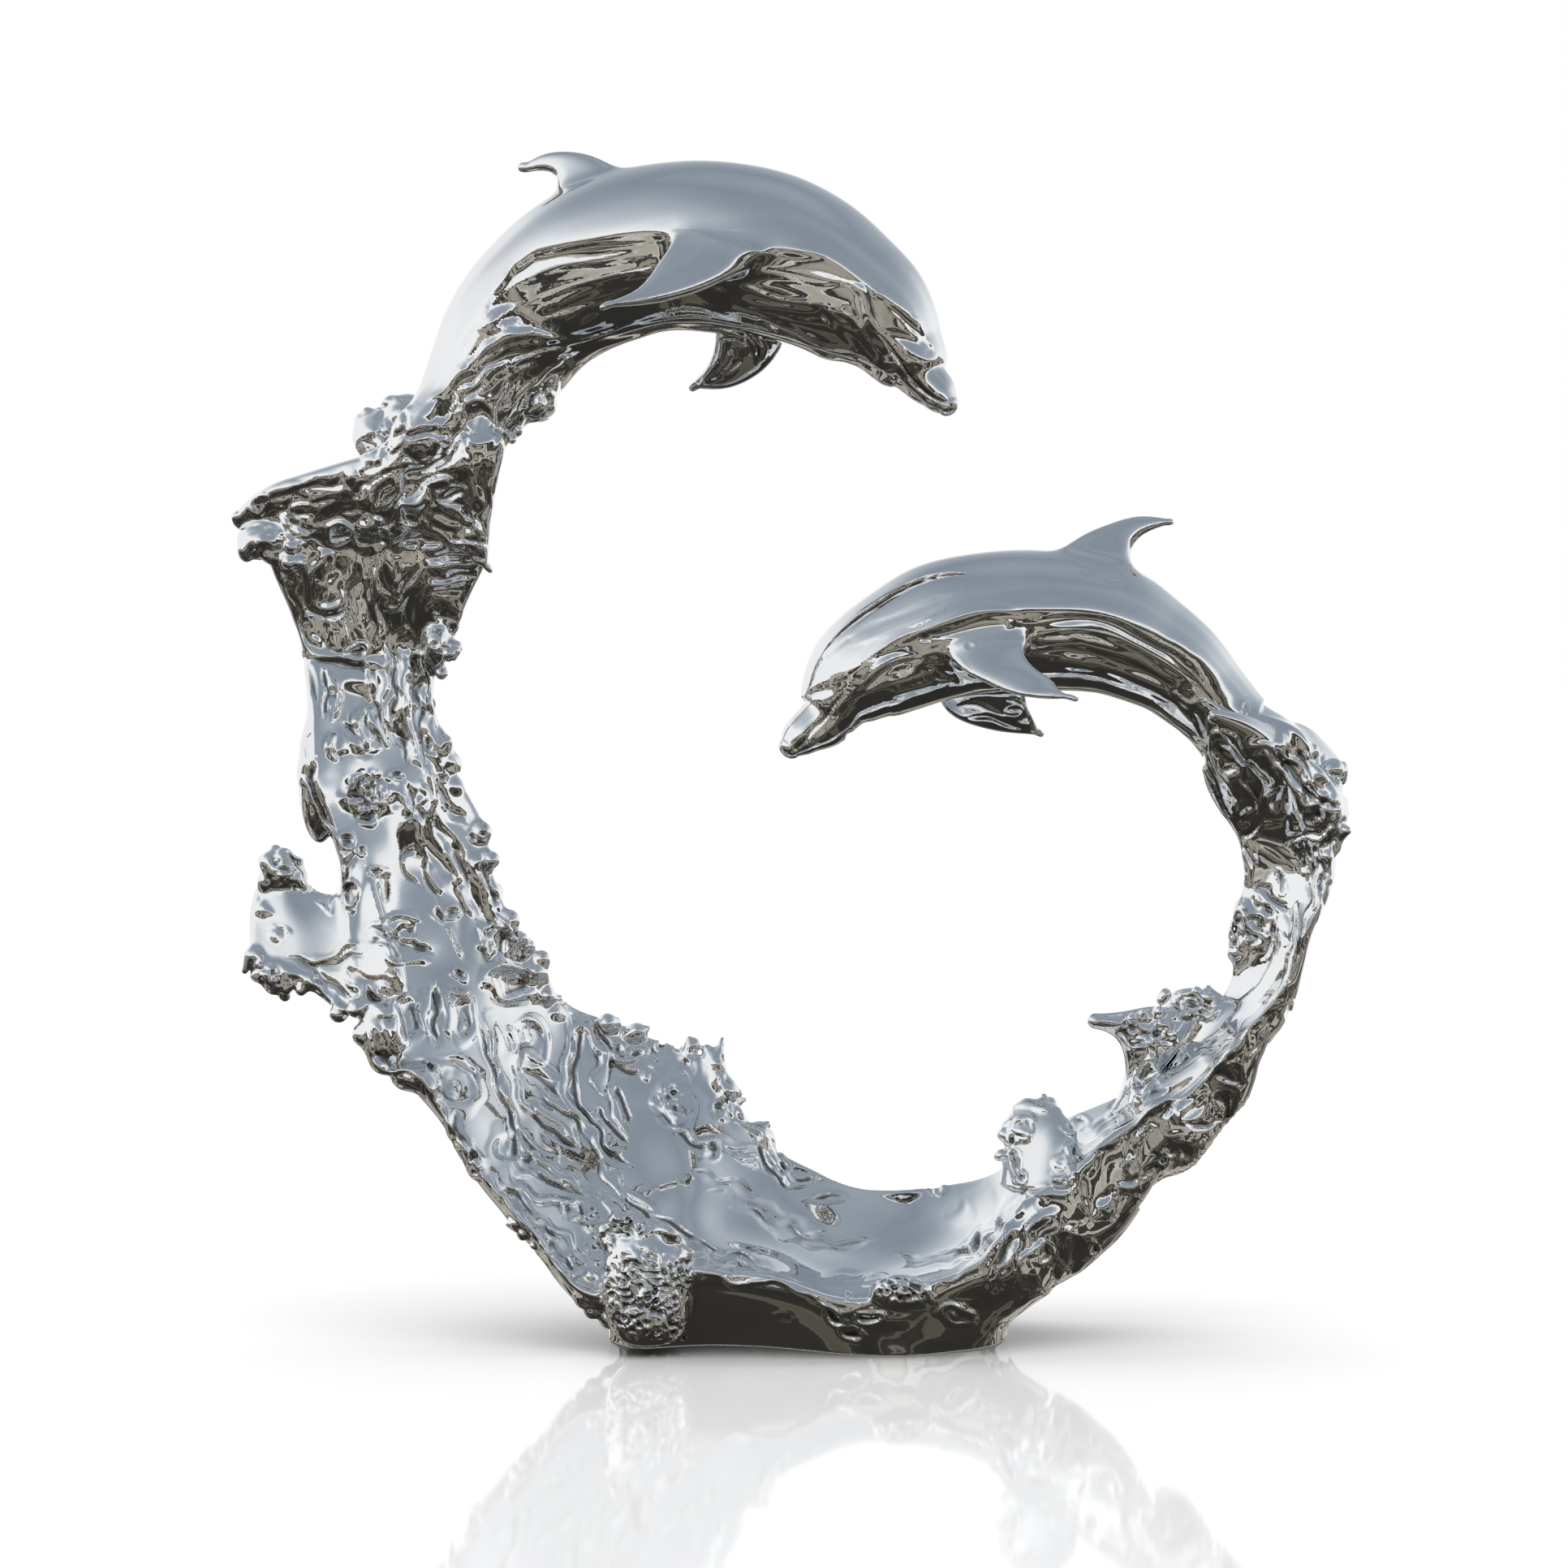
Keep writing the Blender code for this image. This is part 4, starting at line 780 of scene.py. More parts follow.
        (3.6, 5, [(1614, 1000), (1624, 1006), (1634, 996), (1632, 982)]), (-3.4, 5, [(1620, 990), (1640, 982), (1646, 994)]),
        (3.2, 5, [(1590, 1048), (1604, 1034), (1626, 1026), (1646, 1008)]), (-3.8, 6, [(1596, 1056), (1614, 1044), (1636, 1034), (1650, 1018)]),
        (3.2, 5, [(1600, 1066), (1616, 1056), (1636, 1042)]), (-3.0, 5, [(1584, 1036), (1598, 1024), (1620, 1012), (1640, 992)]),
        (3.4, 5, [(1590, 1000), (1588, 1016), (1604, 1018), (1606, 1000)]), (-3.0, 5, [(1598, 996), (1598, 1010)]),
        (3.4, 5, [(1536, 1040), (1544, 1026), (1560, 1010), (1576, 1012)]), (-3.6, 6, [(1530, 1030), (1544, 1016), (1566, 1004)]),
        (-3.2, 5, [(1530, 1012), (1540, 990), (1536, 976)]),
        (3.0, 5, [(1532, 1042), (1536, 1064), (1540, 1086)]), (3.0, 5, [(1536, 1036), (1546, 1046), (1552, 1062)]),
        (-3.0, 5, [(1544, 1094), (1560, 1096), (1576, 1106), (1590, 1112)]), (3.2, 5, [(1540, 1100), (1556, 1102), (1572, 1112), (1584, 1120)]),
        (3.2, 5, [(1515, 1162), (1514, 1136), (1528, 1116), (1540, 1100)]), (-3.4, 5, [(1524, 1160), (1522, 1140), (1534, 1122)]),
        (3.4, 5, [(1534, 1164), (1550, 1162), (1560, 1148), (1570, 1144), (1568, 1162), (1556, 1178)]),
        (-3.4, 5, [(1566, 1130), (1576, 1150), (1568, 1172)]), (3.4, 5, [(1574, 1112), (1580, 1136), (1586, 1162)]),
        (3.0, 5, [(1608, 1074), (1600, 1110), (1594, 1150), (1588, 1196)]), (-3.0, 4.5, [(1616, 1080), (1610, 1116), (1602, 1150), (1594, 1190)]),
        (3.2, 5, [(1622, 1050), (1620, 1078), (1626, 1096), (1616, 1130), (1602, 1164)]), (-3.2, 5, [(1630, 1046), (1630, 1076), (1628, 1104)]),
        (3.0, 4.5, [(1636, 1040), (1638, 1064), (1632, 1090)]), (3.2, 5, [(1592, 1200), (1586, 1220), (1574, 1236)]),
    ],
    "lower_head": [
        (1.8, 5, [(972, 908), (986, 896), (1000, 882), (1012, 866), (1020, 850)]),
        (-1.8, 4.5, [(966, 910), (980, 892), (996, 874), (1006, 858)]),
        (1.8, 5, [(976, 926), (1000, 912), (1024, 892), (1044, 872), (1060, 856)]),
        (-2.0, 5, [(984, 930), (1014, 916), (1048, 898), (1080, 886)]),
        
        (2.4, 6, [(1046, 852), (1062, 836), (1078, 820), (1100, 806), (1130, 800)]), (-2.2, 6, [(1060, 850), (1080, 830), (1104, 814), (1132, 806)]),
        (-2.4, 4.5, [(1013, 808), (1030, 794), (1052, 778)]), (-2.6, 6, [(1050, 780), (1076, 766), (1104, 754), (1140, 740), (1180, 728)]),
        (2.0, 6, [(1046, 792), (1080, 778), (1120, 762), (1160, 748)]),
        (2.0, 8, [(1130, 800), (1150, 796), (1180, 812), (1200, 832)]), (-2.2, 7, [(1140, 815), (1165, 822), (1196, 842)]),
        (-2.0, 7, [(1100, 868), (1140, 856), (1190, 846), (1230, 852)]), (2.0, 7, [(1090, 856), (1130, 842), (1176, 834)]),
    ],
    "lower_flank": [
        (2.2, 8, [(1060, 810), (1100, 784), (1150, 766), (1210, 752), (1260, 752)]), (-2.0, 7, [(1120, 776), (1160, 776), (1210, 768), (1250, 766)]),
        (-2.4, 7, [(1262, 766), (1310, 758), (1360, 762), (1410, 784), (1460, 818), (1500, 862)]),
        (2.0, 8, [(1270, 778), (1320, 770), (1370, 778), (1420, 802), (1470, 842)]),
        (-2.0, 7, [(1268, 800), (1320, 798), (1380, 810), (1430, 836), (1470, 868)]),
        (2.0, 8, [(1280, 815), (1330, 814), (1380, 826), (1430, 852), (1460, 876)]),
        (-2.2, 6, [(1300, 850), (1350, 850), (1400, 868), (1450, 900), (1476, 926)]),
        (2.4, 6, [(1440, 842), (1452, 858), (1468, 862), (1478, 850)]), (-3.0, 6, [(1468, 872), (1478, 890), (1486, 904)]),
        (1.6, 6, [(1320, 690), (1344, 700), (1380, 712)]), (-1.6, 5, [(1326, 698), (1350, 708), (1386, 716)]),
    ],
    "lower_far_fin": [
        (2.2, 5, [(1180, 866), (1204, 862), (1224, 874), (1250, 880)]), (-2.4, 5, [(1190, 880), (1216, 878), (1240, 888), (1262, 892)]),
        (2.2, 5, [(1236, 856), (1254, 862), (1262, 878)]),
    ],
}

# Groups that are worked more softly: factors on the height and on the width.
SOFTER = {"mouths": (1, 1), "wrist": (0.5, 1.4), "upper_head": (0.62, 1.1), "upper_belly": (0.6, 1.1), "lower_head": (0.42, 1.2),
          "lower_flank": (0.6, 1.15), "bowl": (1.2, 1.05), "pocket": (1.1, 1.2), "cup_row": (0.9, 1.3), "tall_limb": (0.72, 1.3), "left_splash": (0.7, 1.3), "column": (1, 1),
          "upper_far_fin": (0.5, 1.2), "lower_far_fin": (0.5, 1.2), "front_rim": (0.6, 1.2)}
SOFT = (0.62, 1.45)

# Ledges where the surface drops back below a line (drop, over, then easing out over, points left to right).
LEDGES = [
    (11.0, 44, 90, [(590, 400), (608, 360), (628, 330), (652, 310), (696, 297), (748, 289), (798, 287), (832, 289), (856, 292)]),
    (7.0, 36, 80, [(842, 352), (872, 330), (910, 314), (956, 305), (1000, 312), (1044, 336), (1092, 368), (1130, 396), (1152, 420)]),
    (4.5, 26, 70, [(1058, 806), (1090, 784), (1140, 765), (1200, 752), (1256, 748), (1310, 746), (1370, 756), (1430, 780), (1480, 814), (1520, 858)]),
]

# Dimples with a raised lip (s, t, radii, turn in degrees, depth): below zero is a knob.
CELLS = [
    (1083, 362, 12, 8, 35, -2.6), (1126, 393, 9, 6, 45, -1.8), (985, 310, 30, 10, 12, -2.2), (712, 398, 42, 15, -12, -1.6),
    (630, 399, 22, 9, -15, -1.6), (640, 437, 24, 16, -20, 1.6),
    (588, 507, 17, 15, 0, 4.5), (568, 572, 12, 16, 0, -5), (543, 540, 18, 15, 0, -4.5), (548, 542, 7, 5, 0, 3.5), (517, 612, 20, 9, -28, -4),
    (557, 607, 12, 8, -10, 4.5), (572, 634, 9, 7, 0, 4), (604, 600, 6, 24, 12, -3), (508, 630, 14, 13, 0, 5), (468, 637, 9, 5, 0, -4),
    (320, 620, 12, 8, -20, 3.5), (322, 664, 22, 9, -20, -4), (590, 531, 14, 12, 0, 2.5), (418, 656, 12, 9, 0, 4), (475, 650, 7, 6, 0, 3),
    (402, 708, 26, 30, 10, -3.5), (404, 704, 14, 18, 10, 3.5), (489, 664, 12, 13, 0, -4), (508, 665, 7, 6, 0, 3.5), (490, 706, 13, 24, 10, -3.5),
    (490, 700, 6, 12, 10, 2.5), (440, 799, 9, 8, 0, 5), (446, 834, 25, 19, 0, -4.5), (547, 749, 16, 11, 0, 4.5), (537, 786, 17, 14, -30, -4.5),
    (537, 786, 8, 7, -30, 4), (514, 813, 9, 13, 0, 3.5), (498, 785, 8, 14, 0, 3), (566, 770, 7, 9, 0, -3), (412, 846, 9, 15, 10, 3.5),
    (462, 962, 9, 9, 0, -4.5), (468, 984, 8, 8, 0, -4.5), (452, 1002, 10, 8, 0, 4), (440, 968, 9, 13, 20, 4.5), (484, 950, 8, 6, 0, 3),
    (546, 951, 5, 5, 0, 2.5), (527, 914, 6, 8, 10, 2.8), (553, 987, 5, 4, 0, 2.5), (583, 1026, 6, 4, 20, 2.5), (594, 1023, 4, 4, 0, 2),
    (431, 1096, 9, 11, 20, 4), (426, 1028, 7, 8, 0, 3.5), (443, 1044, 6, 6, 0, 3), (463, 1069, 8, 5, 0, 3.5), (468, 1156, 6, 6, 0, -3),
    (554, 1121, 8, 6, 20, 3), (536, 1120, 6, 10, -30, 3), (632, 1206, 27, 17, 15, 6), (634, 1208, 13, 8, 15, 3.5), (606, 1150, 9, 12, 0, 3),
    (641, 1152, 9, 9, 0, -4), (682, 1210, 8, 14, 0, 3), (503, 1250, 14, 25, 0, 5), (503, 1254, 6, 13, 0, -3), (567, 1250, 13, 24, 0, 5),
    (567, 1256, 5, 12, 0, -3), (563, 1197, 9, 5, 0, 3.5), (460, 1226, 10, 7, 20, 3.5), (559, 1334, 22, 25, -15, 5), (557, 1336, 11, 13, -15, -4),
    (529, 1311, 8, 6, 20, 3.5), (497, 1288, 19, 11, 0, -3), (622, 1410, 18, 22, 20, 5), (624, 1412, 8, 10, 20, -3.5), (650, 1426, 10, 8, 0, 3),
    (580, 1422, 8, 10, -20, 3.5), (672, 1461, 48, 12, 12, 4), (728, 1471, 11, 9, 0, -4), (796, 1324, 8, 8, 0, -4.5), (785, 1296, 9, 6, 0, 3.5),
    (816, 1284, 6, 6, 0, 3.5), (834, 1288, 5, 6, 0, 3), (826, 1346, 11, 13, 0, 1.6), (842, 1366, 9, 9, 0, -2), (806, 1352, 8, 7, 0, -3.5),
    (877, 1416, 9, 8, 0, 4.5), (884, 1362, 7, 10, 20, 3.5), (940, 1398, 9, 9, 0, -5), (962, 1436, 8, 12, -30, 4), (990, 1450, 13, 6, -12, 4),
    (760, 1292, 10, 7, 15, 3.5), (745, 1304, 8, 6, 0, -3), (1018, 1473, 19, 5, -3, 3), (1156, 1462, 11, 6, 10, 3), (1146, 1466, 5, 4, 0, 2.5),
    (878, 1463, 10, 4, 5, 1.2), (1080, 1576, 14, 6, 0, 1.4), (1040, 1594, 3.5, 5, 0, 2.5), (1026, 1620, 13, 7, 38, 4), (1070, 1623, 14, 6, 0, 4),
    (1050, 1641, 14, 6, 22, 4), (966, 1623, 10, 5, 0, 2), (1178, 1618, 32, 15, 6, -4), (1178, 1619, 19, 8, 6, 4), (1176, 1620, 8, 4, 6, -2.5),
    (1126, 1600, 16, 10, -20, 3), (784, 1612, 14, 10, 0, -4), (744, 1576, 12, 22, 10, -3),
    (1252, 1428, 7, 14, 0, 4), (1262, 1382, 9, 8, -30, 4), (1276, 1374, 6, 6, 0, -3), (1250, 1398, 5, 5, 0, 3), (1325, 1381, 14, 7, -15, 4),
    (1322, 1412, 9, 9, 0, 4), (1312, 1432, 7, 8, 0, -3.5), (1306, 1452, 7, 6, 0, 3.5), (1256, 1446, 7, 9, 0, 3.5), (1284, 1362, 5, 7, 0, -3),
    (1463, 1252, 6, 6, 0, 3.5), (1437, 1290, 10, 14, 10, -4), (1428, 1264, 9, 8, 0, 4), (1398, 1262, 7, 4, 0, 3), (1378, 1256, 8, 4, -5, -2.5),
    (1404, 1286, 7, 6, 0, -3), (1410, 1324, 8, 20, 18, 2.5), (1466, 1236, 9, 5, 10, 2.5),
    (1587, 1240, 5, 12, 18, 4), (1508, 1304, 11, 6, -40, -3), (1534, 1312, 9, 7, -30, -3), (1506, 1352, 9, 12, 30, 3.5), (1462, 1408, 14, 5, 5, -2.5),
    (1438, 1428, 8, 6, -20, 3.5), (1395, 1414, 8, 16, 15, 3), (1362, 1486, 6, 14, 20, -2.5), (1291, 1544, 11, 8, -35, 4), (1310, 1562, 7, 15, -10, -3.5),
    (1262, 1566, 12, 26, 20, -4), (1226, 1566, 8, 11, 10, -3), (1347, 1533, 6, 5, -50, 3.5), (1240, 1536, 8, 22, 28, 2.5), (1276, 1510, 9, 16, 35, -3),
    (1577, 1081, 5, 10, -15, 3), (1546, 1130, 9, 8, 0, 4), (1541, 1152, 8, 7, 0, -4.5), (1562, 1116, 8, 8, 0, 3), (1520, 1140, 4, 6, 0, 3),
    (1519, 1156, 4, 5, 0, 3), (1570, 1138, 6, 10, 0, 3), (1550, 1106, 7, 5, 0, -3), (1620, 1000, 10, 11, 0, 4), (1606, 1060, 8, 7, -30, 3),
    (1642, 1016, 6, 9, 20, -3), (1616, 1064, 6, 20, -5, 3), (1510, 930, 12, 22, -20, 2.5),
    (1534, 866, 4, 6, 0, 2.5), (1052, 838, 6, 5, 0, -1.6),
    (1192, 792, 6, 4, 0, 1.2), (1138, 780, 8, 5, 10, 2), (1244, 766, 9, 6, -20, -2.4), (1160, 826, 12, 7, 10, 2), (1245, 870, 9, 6, 0, 2),
]

# Froth: churned metal (s, t, radii, turn, height).
FROTH = [
    (365, 652, 32, 26, 0, 4.5), (330, 665, 20, 16, 0, 3.0), (468, 540, 34, 36, 30, 5.5), (482, 510, 30, 24, 0, 5.0), (432, 588, 30, 20, -20, 2.4),
    (572, 662, 36, 22, 15, 3.4), (594, 674, 14, 14, 0, 3.6), (480, 655, 40, 18, 0, 2.4), (612, 508, 34, 34, 0, 1.6), (662, 498, 26, 26, 0, 5.0),
    (555, 706, 36, 20, 0, 2.4), (546, 790, 24, 36, 0, 3.4), (412, 846, 12, 20, 0, 4.0), (446, 894, 32, 36, 0, 5.5), (414, 912, 20, 22, 0, 4.6),
    (452, 978, 42, 38, 0, 6.5), (506, 988, 22, 28, 0, 3.4), (500, 880, 18, 44, 0, 2.0),
    (344, 1068, 22, 24, 0, 4.6), (366, 1086, 20, 14, 0, 4.0), (326, 1120, 14, 14, 0, 4.0), (340, 1146, 14, 16, 0, 4.0), (330, 1198, 24, 26, 0, 4.8),
    (390, 1212, 44, 11, 32, 2.6), (432, 1110, 13, 20, 0, 2.6), (490, 1150, 30, 20, 0, 2.0), (470, 1212, 32, 16, 10, 3.0),
    (612, 1158, 36, 40, 0, 4.2), (656, 1284, 24, 28, 0, 1.2), (470, 1270, 24, 36, 0, 2.6), (556, 1334, 28, 30, 0, 3.0), (578, 1424, 22, 32, -30, 4.4),
    (626, 1412, 28, 26, 0, 2.0), (640, 1516, 20, 46, -30, 3.2), (704, 1486, 22, 16, 0, 3.2), (702, 1556, 22, 28, 0, 3.6), (752, 1292, 34, 20, 15, 3.8),
    (786, 1596, 58, 56, 0, 3.8), (1466, 1240, 40, 20, 0, 3.6), (1420, 1272, 34, 22, 0, 3.0), (1416, 1316, 22, 40, 0, 3.0),
    (796, 1304, 28, 28, 0, 3.8), (826, 1288, 20, 15, 0, 3.8), (826, 1356, 30, 32, 0, 5.2), (848, 1312, 13, 32, 10, 3.8), (884, 1318, 15, 34, 10, 3.8),
    (890, 1362, 18, 24, 0, 4.2), (720, 1262, 24, 12, 10, 2.4), (956, 1428, 17, 28, -25, 3.4), (988, 1450, 20, 10, 0, 3.0), (1152, 1464, 22, 8, 0, 1.8),
    (1256, 1388, 16, 24, 0, 4.2), (1256, 1438, 13, 24, 0, 4.0), (1318, 1428, 17, 34, 10, 4.2), (1324, 1384, 15, 11, 0, 2.4), (1284, 1362, 14, 12, 0, 3.0),
    (1398, 1266, 46, 15, 4, 3.6), (1430, 1262, 18, 18, 0, 3.8), (1404, 1290, 14, 12, 0, 3.0), (1470, 1232, 34, 13, 4, 2.0),
    (1620, 952, 30, 36, 0, 3.2), (1642, 996, 14, 36, 0, 3.6), (1618, 1040, 32, 20, -20, 3.0), (1544, 1134, 26, 30, 0, 4.2),
    (1508, 980, 10, 44, -20, 2.2), (1184, 1614, 50, 24, 0, 0.8),
]

# Beaded foam: the same at the scale of single drops.
BEADS = [
    (786, 1590, 66, 66, 0, 2.2), (770, 1512, 40, 18, 0, 2.4), (740, 1530, 24, 22, 0, 2.4), (830, 1572, 26, 24, 0, 2.4), (818, 1640, 44, 24, 0, 1.6),
    (1108, 1588, 38, 20, 0, 3.6), (452, 974, 34, 30, 0, 1.6), (826, 1352, 24, 24, 0, 1.4), (330, 1198, 16, 20, 0, 1.6), (346, 1066, 16, 16, 0, 1.6),
    (640, 1150, 16, 16, 0, 1.6), (724, 1496, 20, 14, 0, 2.0),
]

# Drawn-out folds that follow the flow (s, t, radii, turn, height, way of the folds in degrees, wavelength).
FOLDS = [
    (450, 724, 116, 96, 0, 4.0, 88, 27), (496, 846, 56, 70, 0, 3.0, 88, 22), (566, 516, 90, 62, -42, 2.4, -44, 30), (520, 590, 80, 46, -20, 2.4, -30, 28),
    (380, 606, 86, 34, -20, 2.6, -16, 20), (1460, 1400, 60, 200, 42, 2.1, -50, 44), (1290, 1560, 90, 60, -30, 2.2, -48, 42),
    (1572, 958, 76, 66, 0, 3.8, 62, 26), (1606, 1110, 26, 100, 8, 2.4, -80, 18), (560, 1080, 44, 100, -15, 2.4, 68, 26),
    (960, 370, 190, 44, 14, 0.8, 14, 26), (700, 404, 120, 46, -26, 1.0, -28, 26), (1390, 826, 130, 50, 26, 0.8, 24, 28), (1120, 832, 120, 34, -20, 0.7, -22, 24),
    (1216, 1500, 60, 50, 0, 1.6, -42, 18), (620, 1300, 50, 60, 0, 2.0, 70, 26),
]

# Long swells of the cast surface, under the folds (s, t, radii, turn, height).
SWELL = [
    (1460, 1400, 100, 220, 42, 5.0), (480, 740, 150, 130, 0, 3.5), (480, 900, 120, 120, 0, 2.5), (520, 1100, 150, 150, 0, 2.2),
    (600, 1330, 170, 200, -30, 1.2), (820, 1440, 200, 160, 20, 1.1), (1050, 1510, 260, 90, 0, 1.2), (1590, 1000, 100, 120, 0, 2.5),
    (1580, 1180, 80, 150, 0, 1.0), (400, 1140, 110, 110, 0, 1.6), (560, 520, 130, 110, 0, 2.0), (1290, 1560, 90, 60, 0, 3.0),
]


def bump(x):
    x = np.clip(np.abs(x), 0, 1)
    return (1 - x * x) ** 2


def drift(s, t, wavelength, seed):
    """Smooth noise on the sheet."""
    rng = np.random.default_rng(seed)
    total = np.zeros_like(s)
    for _ in range(6):
        angle, phase = rng.uniform(0, 2 * math.pi, 2)
        k = 2 * math.pi / (wavelength * rng.uniform(0.7, 1.5))
        total += np.sin(k * (s * math.cos(angle) + t * math.sin(angle)) + phase)
    return total / math.sqrt(3)


class Sheet:
    """Relief, froth and bead heights on a one millimetre raster over the elevation."""

    def __init__(self):
        t, s = np.mgrid[T0:T1, S0:S1].astype(float)
        calm = np.clip(((s > 600) & (t < 470)) | ((s > 940) & (t < 940) & (s < 1500)), 0, 1)
        for axis in (0, 1):
            for i in range(3):
                calm = (calm + np.roll(calm, 14 * 2 ** i, axis) + np.roll(calm, -14 * 2 ** i, axis)) / 3
        loose = 1.8 * (1 - calm)
        self.s = s + loose * drift(s, t, 34, 1) + 1.5 * drift(s, t, 120, 3)
        self.t = t + loose * drift(s, t, 34, 2) + 1.5 * drift(s, t, 120, 4)
        self.relief, self.froth, self.beads, self.swell = (np.zeros_like(s) for _ in range(4))
        for name, group in STROKES.items():
            high, wide = SOFTER.get(name, SOFT)
            for height, width, points, *lip in group:
                self.stroke(height * high, width * wide, points, *lip)
        for ledge in LEDGES:
            self.ledge(*ledge)
        for cs, ct, rs, rt, turn, depth in CELLS:
            self.cell(cs, ct, rs * 1.15, rt * 1.15, turn, depth * (0.5 if ct < 900 and (cs > 950 or ct < 440) else 0.75))
        for fs, ft, rs, rt, turn, height, way, wavelength in FOLDS:
            box, r = self.oval(fs, ft, rs, rt, turn, 1.0)
            edge = np.clip(1.5 * (1 - r), 0, 1)
            rng = np.random.default_rng(int(fs + ft))
            total = 0
            for _ in range(7):
                a = math.radians(way + rng.normal(0, 9)) + math.pi / 2
                k = 2 * math.pi / (1.4 * wavelength * rng.uniform(0.65, 1.6))
                bend = 9 * np.sin((self.s[box] * math.sin(a) - self.t[box] * math.cos(a)) / rng.uniform(22, 40) + rng.uniform(0, 6))
                total = total + np.sin(k * (self.s[box] * math.cos(a) + self.t[box] * math.sin(a) + bend) + rng.uniform(0, 6))
            self.relief[box] += 0.5 * height * edge * edge * (3 - 2 * edge) * np.tanh(total / 1.87 * 1.2)
        for table, layer in ((FROTH, self.froth), (BEADS, self.beads), (SWELL, self.swell)):
            for cs, ct, rs, rt, turn, height in table:
                box, r = self.oval(cs, ct, rs, rt, turn, 1.0)
                edge = np.clip(1.6 * (1 - r), 0, 1)
                layer[box] = np.maximum(layer[box], height * edge * edge * (3 - 2 * edge))
        self.layers = np.stack([self.relief, self.froth, self.beads, self.swell], -1).astype(np.float32)

    def box(self, low_s, high_s, low_t, high_t, pad):
        return (slice(max(int(low_t - pad) - T0, 0), max(int(high_t + pad) - T0 + 1, 0)),
                slice(max(int(low_s - pad) - S0, 0), max(int(high_s + pad) - S0 + 1, 0)))

    def oval(self, cs, ct, rs, rt, turn, reach):
        r = max(rs, rt) * reach
        box = self.box(cs - r, cs + r, ct - r, ct + r, 5)
        a = math.radians(turn)
        ds, dt = self.s[box] - cs, self.t[box] - ct
        return box, np.hypot((ds * math.cos(a) + dt * math.sin(a)) / rs, (dt * math.cos(a) - ds * math.sin(a)) / rt)

    def cell(self, cs, ct, rs, rt, turn, depth):
        box, r = self.oval(cs, ct, rs, rt, turn, 1.6)
        self.relief[box] += -depth * bump(r) + (0.4 * depth * bump((r - 1.05) / 0.45) if depth > 0 else 0)

    def nearest(self, points, reach):
        """Distance to a line on the sheet, the signed distance beside it and how far along it, from 0 to 1."""
        points = np.array(points, float)
        knots = chord_knots(points)
        n = max(int(knots[-1] / 1.5), 8)
        c = spline(points, knots, n)
        step = unit(np.gradient(c, axis=0))
        whole = self.box(c[:, 0].min(), c[:, 0].max(), c[:, 1].min(), c[:, 1].max(), reach + 6)
        best = np.full(self.s[whole].shape, 1e9)
        side, where = np.zeros_like(best), np.zeros_like(best)
        for a in range(0, n, 16):
            part = c[a:a + 16]
            box = self.box(part[:, 0].min(), part[:, 0].max(), part[:, 1].min(), part[:, 1].max(), reach + 5)
            inner = (slice(box[0].start - whole[0].start, box[0].stop - whole[0].start),
                     slice(box[1].start - whole[1].start, box[1].stop - whole[1].start))
            ds = self.s[box][..., None] - part[:, 0]
            dt = self.t[box][..., None] - part[:, 1]
            d2 = ds * ds + dt * dt
            i = np.argmin(d2, axis=-1)
            pick = np.take_along_axis
            d = np.sqrt(pick(d2, i[..., None], -1)[..., 0])
            nearer = d < best[inner]
            cross = (step[a + i, 0] * pick(dt, i[..., None], -1)[..., 0] - step[a + i, 1] * pick(ds, i[..., None], -1)[..., 0])
            best[inner] = np.where(nearer, d, best[inner])
            side[inner] = np.where(nearer, cross, side[inner])
            where[inner] = np.where(nearer, a + i, where[inner])
        return whole, best, side, where, where / (n - 1)

    def stroke(self, height, width, points, lip=0.0):
        whole, best, side, where, run = self.nearest(points, width * (1 + 2.5 * lip))
        taper = np.clip(np.minimum(run, 1 - run) / 0.22, 0, 1)
        taper = taper * taper * (3 - 2 * taper)
        wide = width * (0.55 + 0.45 * taper) * (1 + 0.18 * np.sin(where * 0.11 + points[0][0]))
        wide = wide * np.where(side < 0, 1 + 2.5 * lip, 1.0)
        self.relief[whole] += height * (0.15 + 0.85 * taper) * bump(best / wide)

    def ledge(self, drop, over, ease, points):
        whole, best, side, where, run = self.nearest(points, over + ease)
        taper = np.clip(np.minimum(run, 1 - run) / 0.15, 0, 1)
        down = np.clip((side + np.sqrt(side * side + 12)) / (2 * over), 0, 1)
        back = np.clip((best - over) / ease, 0, 1)
        level = down * (2 - down) * (1 - back * back * (3 - 2 * back))
        self.relief[whole] -= drop * taper * taper * (3 - 2 * taper) * level

    def look(self, u, w):
        x = np.clip(u + SHEET_S - S0, 0, S1 - S0 - 1.001)
        y = np.clip(SHEET_T - w - T0, 0, T1 - T0 - 1.001)
        i, j = x.astype(int), y.astype(int)
        f, g = (x - i)[:, None].astype(np.float32), (y - j)[:, None].astype(np.float32)
        a = self.layers
        return (a[j, i] * (1 - f) + a[j, i + 1] * f) * (1 - g) + (a[j + 1, i] * (1 - f) + a[j + 1, i + 1] * f) * g


